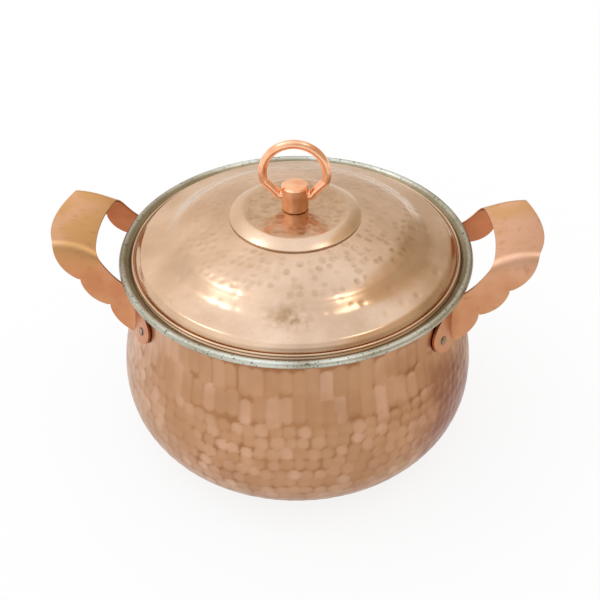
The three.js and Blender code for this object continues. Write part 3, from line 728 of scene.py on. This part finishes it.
def build_plate():
    """Flat, bevel, rounded edge and foot outside, and the same outline one sheet lower back inside."""
    low, high = low_and_top("knob_plate")
    width, drop = PLATE_RADIUS - PLATE_FLAT_RADIUS, PLATE_HEIGHT - PLATE_EDGE
    knots = np.arange(len(PLATE_BEVEL_SHARES))
    bevel = smooth_curve(PLATE_BEVEL_SHARES, knots, PLATE_STEPS) * [width, drop]
    bevel += [PLATE_FLAT_RADIUS, high - drop]
    middle = np.linspace(SCREW_HOLE_RADIUS, PLATE_FLAT_RADIUS, PLATE_STEPS)[:-1]
    face = np.concatenate([places_at(middle, high), bevel])
    top = evenly(face, PLATE_ROW_SPACING)
    rounding = (PLATE_RADIUS - PLATE_ROUNDING, bevel[-1, 1] - PLATE_ROUNDING / 2)
    edge = arc(rounding, PLATE_ROUNDING, QUARTER, 0, 4)[1:]
    foot = np.array([(PLATE_RADIUS, low), (PLATE_RADIUS - PLATE_SHEET, low)])
    under = evenly(face[::-1][PLATE_UNDER_START:] - [0, PLATE_SHEET], PLATE_UNDER_SPACING)
    rest = np.concatenate([edge, foot, under])
    height, bowl, _ = bowls(top, PLATE_COLUMNS, PLATE_MARKS, PLATE_MARK_WIDTH, PLATE_SEED, skip=0.2,
                            wander=0.5)
    # Painted reflection: the flat is browner than the bevel, and its hammer marks browner still.
    dents_and_painted_shade = np.where(top[:, 0][:, None] < PLATE_FLAT_RADIUS, 0.4 + 0.4 * bowl, 0)
    grid = np.concatenate([pressed(top, PLATE_COLUMNS, height), spun(rest, PLATE_COLUMNS)])
    mesh = closed_mesh("plate", grid, wrap_rows=True, bowl=padded(dents_and_painted_shade, 0, len(rest)))
    piece(mesh, "lid", "plate_copper", "knob_plate", PLATE_COPPER)


build_plate()

# %% [markdown]
# ## Bright copper
#
# The post and the ring are solid rod and wire, drawn and polished but never hammered. Drawn copper is
# redder and smoother than worked sheet, so it shows the crispest reflections on the whole pot.

# %% Drawn copper
def drawn_copper():
    """Two close tones of copper in small clouds, with a polish that varies a little."""
    made, tree = metal("drawn_copper", "#F3B48D", 0.22)
    return finished(made, {
        "Base Color": coats(tree, "#F6B088", (clouds(tree, 8, 0.35, 0.65), "#FDCBA6")),
        "Roughness": clouds(tree, 3, 0.3, 0.7, 0.17, 0.26),
    })


DRAWN = drawn_copper()

# %% [markdown]
# ## The post
#
# A short turned rod with a bright chamfer and a slightly domed end. The hole that the ring swings in goes
# right across it, which a spun grid alone can't give, so a second grid, a plain rod along X, is taken
# away from it with a Boolean modifier.

# %% Build the post
POST_COLUMNS = 128
DRILL_COLUMNS = 64
POST_FOOT = 0.3
PIVOT = [joint for joint in frame["record"]["behaviour"]["joints"] if joint["name"] == "ring_swing"][0]
PIVOT_HEIGHT = PIVOT["pos_m"][2] / MM - RIM_HEIGHT


def cut_away(made, tool):
    """Takes one closed mesh away from another and keeps the result as the first one's mesh."""
    cut = made.modifiers.new("cross_hole", "BOOLEAN")
    cut.operation = "DIFFERENCE"
    cut.solver = "EXACT"
    cut.object = tool
    bpy.context.view_layer.update()
    result = bpy.data.meshes.new_from_object(made.evaluated_get(bpy.context.evaluated_depsgraph_get()))
    made.modifiers.clear()
    made.data = result
    bpy.data.objects.remove(tool)


def build_post():
    """A spun outline with a parabola for its dome, less a spun rod whose axis is turned onto X."""
    low, high = low_and_top("knob_post")
    shoulder = POST_RADIUS - POST_CHAMFER
    crown = np.linspace(shoulder, 0, 8)
    dome = places_at(crown, high - POST_CROWN * (crown / shoulder) ** 2)
    side = np.array([(POST_RADIUS, low + POST_FOOT), (POST_RADIUS, high - POST_CROWN - POST_CHAMFER)])
    outline = np.concatenate([[(0, low), (POST_RADIUS - POST_FOOT, low)], evenly(side, 1.0), dome])
    mesh = closed_mesh("post", spun(outline, POST_COLUMNS))
    made = piece(mesh, "lid", "bright_copper", "knob_post", DRAWN)
    drill = np.array([(0, -2), (1, -2), (1, 2), (0, 2)]) * [RING_WIRE_RADIUS + PIN_CLEARANCE, POST_RADIUS]
    rod = spun(drill, DRILL_COLUMNS)[..., [2, 0, 1]] + [0, 0, PIVOT_HEIGHT]
    cut_away(made, put("drill", closed_mesh("drill", rod)))
    made.data.set_sharp_from_angle(angle=math.radians(30))


build_post()

# %% [markdown]
# ## The ring
#
# One length of round wire, bent so that both ends point at each other inside the post. Its middle line
# goes out of the post, turns up a slanting leg and runs round the loop. A circle is carried along that
# line: at each point it lies square to the line's own direction, which stays in one plane, so that the
# circle's second direction is simply Y. A curve object with a round bevel would look the same, but a grid
# closes at its ends like all the others.

# %% Build the ring
RING_STEPS = 320
RING_SIDES = 40


def ring_line():
    """Places of the wire's middle line, in the XZ plane, and the smooth curve through them."""
    shoulder = math.radians(RING_SHOULDER_DEGREES)
    bend = POST_RADIUS + RING_BEND_STAND_OFF
    foot = [(out, 0) for out in (RING_END_GAP / 2, POST_RADIUS / 2, (POST_RADIUS + bend) / 2, bend)]
    loop = arc((0, RING_LOOP_HEIGHT), RING_LOOP_RADIUS, -shoulder, QUARTER, 16)
    leg = [(bend + (loop[0, 0] - bend) * share, loop[0, 1] * share) for share in RING_LEG_SHARES]
    right = np.concatenate([foot, leg, loop])
    places = np.concatenate([right * [-1, 1], right[-2::-1]])
    return smooth_curve(places, arc_length(places), RING_STEPS)


def build_ring():
    """The middle line, plus the wire's radius times cosine along its normal and times sine along Y."""
    line = ring_line()
    outwards = RING_WIRE_RADIUS * normals_of(line)
    angle = round_turn(RING_SIDES)
    x, z = [line[:, [i]] + outwards[:, [i]] * np.cos(angle) for i in (0, 1)]
    grid = places_at(x, RING_WIRE_RADIUS * np.sin(angle), z + PIVOT_HEIGHT)
    caps = [np.broadcast_to(grid[end].mean(axis=0), (1, RING_SIDES, 3)) for end in (0, -1)]
    mesh = closed_mesh("ring", np.concatenate([caps[0], grid, caps[1]]))
    piece(mesh, "ring", "bright_copper", "knob_ring", DRAWN)


build_ring()

# %% [markdown]
# ## Handle copper
#
# The straps are rolled sheet, cut out and bent but not hammered. Rolled copper is smooth and satin.
# Hands have toned the grips to a golden orange, the left one more golden, the right one pinker. The arms
# are redder, and the inner face is painted a deep red brown, a painted shade for the sheet's underside
# that faces away from the light. Two attributes carry this: `reach` is the distance along the strap in its
# parts, and `under` is 1 on the inner face.

# %% Rolled copper
def rolled_copper():
    """Tones for grip, arm and inner face, each drifting in clouds and from the left handle to the right."""
    made, tree = metal("rolled_copper", "#CE9468", 0.36)
    sideways = add(tree, "SeparateXYZ", [add(tree, "TexCoord", out="Object")], out="X")
    side = add(tree, "MapRange", [sideways, -100 * MM, 100 * MM, -0.3, 0.3])
    cloudy = clouds(tree, 26, 0.35, 0.65, detail=2)
    tone = add(tree, "Math", [cloudy, side], operation="ADD", use_clamp=True)
    grip_tone, arm_tone, inner = [coats(tree, low, (tone, high)) for low, high in (
        ("#CC9B66", "#D9A98B"), ("#C2825A", "#D09A74"), ("#A8613B", "#BD7751"))]
    reach, under = [add(tree, "Attribute", attribute_name=name, out="Fac") for name in ("reach", "under")]
    on_arm = add(tree, "MapRange", [reach, 0.9, 1.35, 0, 1])
    spots = clouds(tree, 5, 0.58, 0.72, 0, 0.35, detail=5)
    return finished(made, {
        # Painted shade: a deep red brown on the inner face, where `under` is 1.
        "Base Color": coats(tree, grip_tone, (on_arm, arm_tone), (spots, "#B4714B"), (under, inner)),
        "Roughness": clouds(tree, 10, 0.3, 0.7, 0.3, 0.44),
    })


ROLLED = rolled_copper()

# %% [markdown]
# ## The handles
#
# Each handle is one strip of sheet: a wide grip in the middle, an arm with three scallops on each side,
# and a rounded tongue at each end that lies round the neck. The strip is a function of two numbers: the
# place along it (0 in the middle of the grip, 1 at the fold to the arm, 2 at the fold to the tongue, 3 at
# its end) and the share across it. At the folds a cubic curve joins the flat parts, a little more
# softly than the solids do. A flat sheet with a Solidify modifier could give the same, but the formula
# keeps every scallop and fold where the sizes put it.

# %% Driving sizes of the handles
STRAP_SHEET = 1.5
FINGER_GAP = 11.8
GRIP_WIDTH = 28.8
GRIP_INNER_BOW = 3.9
GRIP_INNER_HEIGHT = 13.8
GRIP_INNER_SAG = 1.1
GRIP_INNER_HALF = 31.5
GRIP_OUTER_BOW = 9
GRIP_OUTER_HEIGHT = 17.6
GRIP_OUTER_LIFT = 2.6
GRIP_OUTER_HALF = 33.2
GRIP_CROWN = 1.8
TONGUE_TOP_DROP = 9.5
TONGUE_BOTTOM_DROP = 37.5
TONGUE_TOP_DEGREES = 20.5
TONGUE_BOTTOM_DEGREES = 22
TONGUE_REACH_DEGREES = 15
TONGUE_ROUND_SHARE = 0.85
TONGUE_GAP = 0.4
FOLD_SHARE = 0.2
ARM_UPPER_CONTROL_SHARES = (0.4, 0.76)
ARM_CUSP_SHARES = np.array([(0, 0), (0.304, 0.395), (0.696, 0.69), (1, 1)])
ARM_LOBE_BULGES = np.array([5.1, 4.5, 3.5])
ARM_LOBE_FULLNESS = 0.7
PROBE = 0.001
INNER_REACH = RIM_BEAD_RING + RIM_BEAD_RADIUS + FINGER_GAP
OUTER_REACH = INNER_REACH + GRIP_WIDTH
INNER_FOLD = np.array([INNER_REACH - GRIP_INNER_BOW, GRIP_INNER_HALF, GRIP_INNER_HEIGHT - GRIP_INNER_SAG])
OUTER_FOLD = np.array([OUTER_REACH - GRIP_OUTER_BOW, GRIP_OUTER_HALF, GRIP_OUTER_HEIGHT + GRIP_OUTER_LIFT])
print("handles reach", round(OUTER_REACH, 1), "mm from the middle")


# %% Tongue, grip and arm
def mix(start, end, share):
    """Straight blend of two values or places."""
    return start + (end - start) * share


def tongue(reach, across):
    """Round the neck: azimuth grows with reach, and the end is rounded like a half ellipse."""
    height = mix(-TONGUE_TOP_DROP, -TONGUE_BOTTOM_DROP, across)
    start = mix(TONGUE_TOP_DEGREES, TONGUE_BOTTOM_DEGREES, across)
    rounding = np.sqrt(np.clip(1 - TONGUE_ROUND_SHARE * (2 * across - 1) ** 2, 0, 1))
    azimuth = np.radians(start + TONGUE_REACH_DEGREES * rounding * reach)
    radius = shoulder_radius(height) + TONGUE_GAP + STRAP_SHEET / 2
    return places_at(radius * np.cos(azimuth), radius * np.sin(azimuth), height)


def grip(along, across):
    """Both edges are parabolas that bow outwards, with a crowned sheet between them."""
    bow = (1 - along ** 2)[..., None]
    crown = GRIP_CROWN * 4 * across * (1 - across)
    scale = places_at(1, along, 1)
    inside = INNER_FOLD * scale + bow * [GRIP_INNER_BOW, 0, GRIP_INNER_SAG]
    outside = OUTER_FOLD * scale + bow * [GRIP_OUTER_BOW, 0, -GRIP_OUTER_LIFT]
    return mix(inside, outside, across[..., None]) + crown[..., None] * [0, 0, 1]


def on_the_way(start, end, share_x, share_z):
    """A place between two others with its own shares in X and in Z, and their mean in Y."""
    return mix(start, end, places_at(share_x, (share_x + share_z) / 2, share_z))


def arm(along, across):
    """Upper edge: a curve with one control place. Lower edge: straight runs swollen into lobes."""
    zero, one = np.zeros(()), np.ones(())
    top_end, low_end = tongue(zero, zero), tongue(zero, one)
    control = on_the_way(INNER_FOLD, top_end, *map(np.asarray, ARM_UPPER_CONTROL_SHARES))
    t = along[..., None]
    upper = INNER_FOLD * (1 - t) ** 2 + 2 * control * t * (1 - t) + top_end * t ** 2
    lobe = np.clip((along * 3).astype(int), 0, 2)
    share = along * 3 - lobe
    first, last = ARM_CUSP_SHARES[lobe], ARM_CUSP_SHARES[lobe + 1]
    start, finish = [on_the_way(OUTER_FOLD, low_end, cusp[..., 0], cusp[..., 1]) for cusp in (first, last)]
    run = finish - start
    outwards = places_at(-run[..., 2], 0, run[..., 0])
    outwards /= np.linalg.norm(outwards, axis=-1)[..., None]
    swell = np.clip(np.sin(np.pi * share), 0, 1) ** ARM_LOBE_FULLNESS
    lower = mix(start, finish, share[..., None]) + outwards * (ARM_LOBE_BULGES[lobe] * swell)[..., None]
    point = mix(upper, lower, across[..., None])
    foot = mix(top_end, low_end, across[..., None])
    return point + (tongue(np.zeros_like(across), across) - foot) * t ** 2


# %% The strip with its folds
def sharp_strip(place, across):
    """Grip up to 1, arm up to 2, tongue up to 3."""
    on_grip = grip(np.clip(place, 0, 1), across)
    on_arm = arm(np.clip(place - 1, 0, 1), across)
    on_tongue = tongue(np.clip(place - 2, 0, 1), across)
    flat = np.where((place <= 2)[..., None], on_arm, on_tongue)
    return np.where((place <= 1)[..., None], on_grip, flat)


def half_strip(place, across):
    """The strip with each fold replaced by the cubic that meets both sides with their own slopes."""
    fold = np.clip(np.round(place), 1, 2)
    before, after = fold - FOLD_SHARE, fold + FOLD_SHARE
    start, end = sharp_strip(before, across), sharp_strip(after, across)
    leave = (start - sharp_strip(before - PROBE, across)) * 2 * FOLD_SHARE / PROBE
    arrive = (sharp_strip(after + PROBE, across) - end) * 2 * FOLD_SHARE / PROBE
    curve = cubic(start, leave, end, arrive, ((place - before) / (2 * FOLD_SHARE))[..., None])
    near = (np.abs(place - fold) < FOLD_SHARE)[..., None]
    return np.where(near, curve, sharp_strip(place, across))


def strip(place, across):
    """The whole strip: negative places are the half with negative Y."""
    return half_strip(np.abs(place), across) * places_at(1, np.sign(place), 1)


# %% [markdown]
# The sheet has a thickness and softly rounded edges. One loop round its cross section goes along the
# inner face, round one edge, back along the outer face and round the other edge. Each point of the loop
# says how far across and how far through the sheet it lies. Along the strip, one row of points lies
# exactly at each cusp of the arm, so that the scallops stay crisp.

# %% Build both handles
FACE_STEPS = 30
EDGE_STEPS = 6
EDGE_SHARE = 0.012
STOPS = (0, 1 - FOLD_SHARE, 1 + FOLD_SHARE, 4 / 3, 5 / 3, 2 - FOLD_SHARE, 2 + FOLD_SHARE, 3)
STOP_STEPS = (26, 16, 10, 18, 9, 12, 24)


def section_loop():
    """Shares across the strip and through its sheet, once round: flat faces joined by half ellipses."""
    face = EDGE_SHARE + (1 - 2 * EDGE_SHARE) * (1 - np.cos(np.linspace(0, math.pi, FACE_STEPS + 1))) / 2
    rounding = np.linspace(QUARTER, -QUARTER, EDGE_STEPS + 1)
    edge = EDGE_SHARE * (1 - np.cos(rounding))
    through = 0.5 * np.sin(rounding)
    flat = np.full(FACE_STEPS, 0.5)
    across = np.concatenate([face[:-1], 1 - edge[:-1], face[:0:-1], edge[:0:-1]])
    depth = np.concatenate([flat, through[:-1], -flat, through[:0:-1]])
    return across, depth


def stations():
    """Places along the whole strip, from one tongue's end to the other's."""
    spans = zip(STOPS, STOPS[1:], STOP_STEPS)
    half = np.concatenate([[0.0]] + [np.linspace(low, high, steps + 1)[1:] for low, high, steps in spans])
    return np.concatenate([-half[:0:-1], half])


def build_handle(name, side, node):
    """The strip, moved half a sheet both ways along the cross product of its two directions."""
    across, depth = section_loop()
    place = stations()
    thickness = np.pad(np.ones(len(place)), 1)
    along, aside = np.meshgrid(np.pad(place, 1, mode="edge"), across, indexing="ij")
    forward = strip(along + PROBE, aside) - strip(along - PROBE, aside)
    sideways = strip(along, np.clip(aside + PROBE, 0, 1)) - strip(along, np.clip(aside - PROBE, 0, 1))
    through = np.cross(forward, sideways)
    through /= np.linalg.norm(through, axis=-1)[..., None]
    grid = strip(along, aside) + through * (STRAP_SHEET * depth * thickness[:, None])[..., None]
    under = np.broadcast_to(depth > 0, along.shape).astype(float)
    mesh = closed_mesh(name, grid * [side, side, 1], reach=np.abs(along), under=under)
    mesh.set_sharp_from_angle(angle=math.radians(40))
    piece(mesh, "pot", "handle_copper", node, ROLLED)


build_handle("right_strap", 1, "right_handle")
build_handle("left_strap", -1, "left_handle")

# %% [markdown]
# ## Rivets
#
# One small rivet goes through each tongue and the wall. Its round head is tinned, dull and a little
# darker than the rim. The outline is spun round its own axis and then carried to its place on the neck,
# square to the wall.

# %% Tinned rivets
RIVET_SHANK = 1.6
RIVET_HEAD = 2.6
RIVET_HEAD_HEIGHT = 0.9
RIVET_PEEN = 2.8
RIVET_PEEN_HEIGHT = 0.8
RIVET_PEEN_GAP = 0.4
RIVET_DROP = 28
RIVET_DEGREES = 30.5
RIVET_COLUMNS = 40
REST_GAP = 0.2


def rivet_tin():
    """Dull tin in two brownish greys."""
    made, tree = metal("dull_rivet_tin", "#A8A49A", 0.5)
    spots = clouds(tree, 1.8, 0.35, 0.65)
    return finished(made, {"Base Color": coats(tree, "#8F8071", (spots, "#B5A594"))})


RIVET_TIN = rivet_tin()


def rivet_place(side, end):
    """Turn about Z, move out to the neck, lean square to its slope."""
    step = RIVET_DROP * PROBE
    rise = float(shoulder_radius(-RIVET_DROP + step) - shoulder_radius(-RIVET_DROP - step))
    tilt = math.atan2(-rise, 2 * step)
    azimuth = (0 if side > 0 else math.pi) + side * end * math.radians(RIVET_DEGREES)
    out = Matrix.Translation((float(shoulder_radius(-RIVET_DROP)), 0, -RIVET_DROP))
    return np.array(Matrix.Rotation(azimuth, 4, "Z") @ out @ Matrix.Rotation(QUARTER - tilt, 4, "Y"))


def build_rivet(name, side, end, node):
    """A quarter ellipse for the peened end, the shank, and a quarter ellipse for the head."""
    stack = TONGUE_GAP + STRAP_SHEET + REST_GAP
    behind = -POT_WALL - RIVET_PEEN_GAP
    turn = np.linspace(0, QUARTER, 9)
    peen = places_at(RIVET_PEEN * np.sin(turn), behind - RIVET_PEEN_HEIGHT * np.cos(turn))
    head = places_at(RIVET_HEAD * np.cos(turn), stack + RIVET_HEAD_HEIGHT * np.sin(turn))
    outline = np.concatenate([peen, [(RIVET_SHANK, behind), (RIVET_SHANK, stack)], head])
    matrix = rivet_place(side, end)
    mesh = closed_mesh(name, spun(outline, RIVET_COLUMNS) @ matrix[:3, :3].T + matrix[:3, 3])
    mesh.set_sharp_from_angle(angle=math.radians(50))
    piece(mesh, "pot", "tinned_rivet", node, RIVET_TIN)


for side_name, side in (("right", 1), ("left", -1)):
    for end_name, end in (("front", -1), ("back", 1)):
        build_rivet(f"{side_name}_{end_name}_stud", side, end, f"{side_name}_{end_name}_rivet")

# %% [markdown]
# ## Screw and washer
#
# These two hold the knob from below. They only show with the lid lifted, their solids are already the
# right shape, and so the CAD nodes stay and get a zinc-plated steel: a cool grey with a faint bloom.

# %% Zinc plate on the carried-over nodes
def zinc_plate():
    """Two cool greys, mixed by the distance from the middles of small crystals."""
    made, tree = metal("zinc_plate", "#A9AAA9", 0.4)
    crystals = {"Vector": add(tree, "TexCoord", out="Object"), "Scale": 1 / (1.5 * MM)}
    bloom = add(tree, "TexVoronoi", crystals, out="Distance")
    return finished(made, {"Base Color": coats(tree, "#9C9EA0", (bloom, "#C2C3C0"))})


ZINC = zinc_plate()
for node_name in ("knob_washer", "knob_screw"):
    carried = frame["nodes"][node_name]
    carried.data.materials.clear()
    carried.data.materials.append(ZINC)
print("zinc on washer and screw")

# %% [markdown]
# ## Floor, room and light
#
# The pot stands on a plain pale floor. Seen directly or in the copper, most of the floor's brightness is
# fixed, and the rest is real light on a matt surface, so that the pot keeps a soft shadow. As the copper
# sees it, the floor's glow is painted brighter on the left, and darker and warmer a little way off to the
# right and behind: painted light, and a painted shadow of the pot. Seen directly it is white.

# %% Floor, in metres
HALF_FLOOR = 3.0
FLOOR_DROP = 0.0002
WHITE = "#FFFFFF"
WARM_WALL = "#FFEBD0"
SHADOW_SIDE = (0.9, 0.43, 0)
FIXED_SHARE = 0.7
FIXED_FOR_CAMERA = 0.15
SHADE_DEPTH = 0.4


def floor_material():
    """A matt floor and a glow whose strength in reflections follows the distance to one side: painted light
    and shadow.
    """
    made = bpy.data.materials.new("pale_floor")
    made.use_nodes = True
    tree = made.node_tree
    tree.nodes.remove(tree.nodes["Principled BSDF"])
    camera, glossy, through = [add(tree, "LightPath", out=f"Is {ray} Ray")
                               for ray in ("Camera", "Glossy", "Transmission")]
    seen = add(tree, "Math", [camera, glossy], operation="ADD", use_clamp=True)
    seen = add(tree, "Math", [seen, through], operation="ADD", use_clamp=True)
    share = add(tree, "Math", [seen, FIXED_SHARE], operation="MULTIPLY")
    share = add(tree, "Math", [camera, FIXED_FOR_CAMERA, share], operation="MULTIPLY_ADD")
    # Painted light and painted shadow, in reflections only: a stronger glow on the left, a weaker, warmer
    # patch right and behind.
    place = add(tree, "TexCoord", out="Object")
    place = add(tree, "VectorMath", [place, SHADOW_SIDE], out="Value", operation="DOT_PRODUCT")
    begins, ends, left, right = [add(tree, "MapRange", [place, *limits]) for limits in (
        (0.15, 0.21, 0, 1), (0.3, 0.6, 1, 0), (-0.2, 0.02, 0.24, 0), (0.02, 0.08, 0.96, 1.14))]
    shade = add(tree, "Math", [begins, ends], operation="MULTIPLY")
    sides = add(tree, "Math", [left, right], operation="ADD")
    fall = add(tree, "Math", [shade, -SHADE_DEPTH, sides], operation="MULTIPLY_ADD")
    strength = add(tree, "Mix", {0: camera, 2: fall, 3: 1.0}, data_type="FLOAT")
    tint = coats(tree, WHITE, (shade, WARM_WALL), (camera, WHITE))
    glow = add(tree, "Emission", {"Color": tint, "Strength": strength})
    both = add(tree, "MixShader", [share, add(tree, "BsdfDiffuse", {"Color": "#F4F4F3"}), glow])
    tree.links.new(both, tree.nodes["Material Output"].inputs["Surface"])
    return made


floor_mesh = bpy.data.meshes.new("floor")
floor_mesh.from_pydata([(x * HALF_FLOOR, y * HALF_FLOOR, -FLOOR_DROP) for x, y in (
    (-1, -1), (1, -1), (1, 1), (-1, 1))], [], [(0, 1, 2, 3)])
floor_mesh.materials.append(floor_material())
floor = put("floor", floor_mesh)
print("floor", 2 * HALF_FLOOR, "m")

# %% [markdown]
# Copper mirrors the room, so the room is laid out like the one in which such a picture is taken: bright
# and cool overhead, bright on the left, with a darker and warmer wall on the right behind a sharp edge, a
# warm back wall and a slightly darker place where the viewer stands. Seen directly, the walls are white.
# One soft lamp hangs high on each side and gives the lid its two glints.

# %% World and lamps
VIEWER = (0.06, -0.75, 0.66)
WALL_EDGE = (0.37, 0.46)


def room():
    """Brightness by direction: height, side, the right wall's edge and the viewer's place, multiplied."""
    world = bpy.data.worlds.new("room")
    world.use_nodes = True
    tree = world.node_tree
    direction = add(tree, "TexCoord", out="Generated")
    x, y, z = [add(tree, "SeparateXYZ", [direction], out=axis) for axis in "XYZ"]
    facing = add(tree, "VectorMath", [direction, VIEWER], out="Value", operation="DOT_PRODUCT")
    glow = add(tree, "MapRange", [z, 0.55, 0.97, 0.94, 1.66])
    for limits in ([x, -0.6, 0.1, 1.2, 0.9], [x, *WALL_EDGE, 1, 0.7], [facing, 0.9, 0.97, 1, 0.7]):
        glow = add(tree, "Math", [glow, add(tree, "MapRange", limits)], operation="MULTIPLY")
    on_right = add(tree, "MapRange", [x, *WALL_EDGE, 0, 1])
    behind = add(tree, "MapRange", [y, 0.4, 0.75, 0, 0.4])
    warm = add(tree, "Math", [on_right, behind], operation="MAXIMUM")
    overhead = add(tree, "MapRange", [z, 0.6, 0.95, 0, 1])
    seen = add(tree, "LightPath", out="Is Camera Ray")
    tint = coats(tree, WHITE, (overhead, "#ECF3FF"), (warm, WARM_WALL), (seen, WHITE))
    strength = add(tree, "Mix", {0: seen, 2: glow, 3: 1.0}, data_type="FLOAT")
    background = tree.nodes["Background"]
    tree.links.new(strength, background.inputs["Strength"])
    tree.links.new(tint, background.inputs["Color"])
    bpy.context.scene.world = world


def lamp(name, azimuth, height, distance, size, power):
    """A square soft lamp that looks at the middle of the rim from an azimuth and a height in degrees."""
    around, up = math.radians(azimuth), math.radians(height)
    way = Vector((math.cos(around) * math.cos(up), math.sin(around) * math.cos(up), math.sin(up)))
    data = bpy.data.lights.new(name, "AREA")
    data.shape = "SQUARE"
    data.size = size
    data.energy = power
    made = put(name, data)
    made.location = Vector((0, 0, RIM_HEIGHT * MM)) + way * distance
    made.rotation_mode = "QUATERNION"
    made.rotation_quaternion = way.to_track_quat("Z", "Y")


room()
lamp("left_softbox", 178, 57, 1.3, 0.28, 0.8)
lamp("right_softbox", -12, 65, 1.3, 0.25, 0.65)

# %% [markdown]
# ## Camera
#
# The camera stands in front of the pot and a little to the right, and looks down at about 39 degrees. Its
# place, direction and lens come from fitting the rim, the lid's edge, the plate and the post, which are
# circles on one axis, to the photograph's frame of 600 by 600 pixels.

# %% Camera
FRAME_PIXELS = 600
FOCAL_PIXELS = 879.1
SENSOR_MM = 36
CAMERA_PLACE = (31.4, -447.6, 454.9)
CAMERA_LOOK = (-0.0505, 0.772, -0.6336)
CAMERA_RIGHT = (0.9983, 0.0564, -0.0108)
camera_data = bpy.data.cameras.new("camera")
camera_data.sensor_width = SENSOR_MM
camera_data.lens = FOCAL_PIXELS / FRAME_PIXELS * SENSOR_MM
camera = put("camera", camera_data)
look = Vector(CAMERA_LOOK).normalized()
right = Vector(CAMERA_RIGHT)
right = (right - look * right.dot(look)).normalized()
axes = Matrix((right, right.cross(look), -look)).transposed()
camera.rotation_mode = "QUATERNION"
camera.rotation_quaternion = axes.to_quaternion()
camera.location = Vector(CAMERA_PLACE) * MM
bpy.context.scene.camera = camera
bpy.context.scene.view_settings.view_transform = "Standard"
print("lens", round(camera_data.lens, 2), "mm")
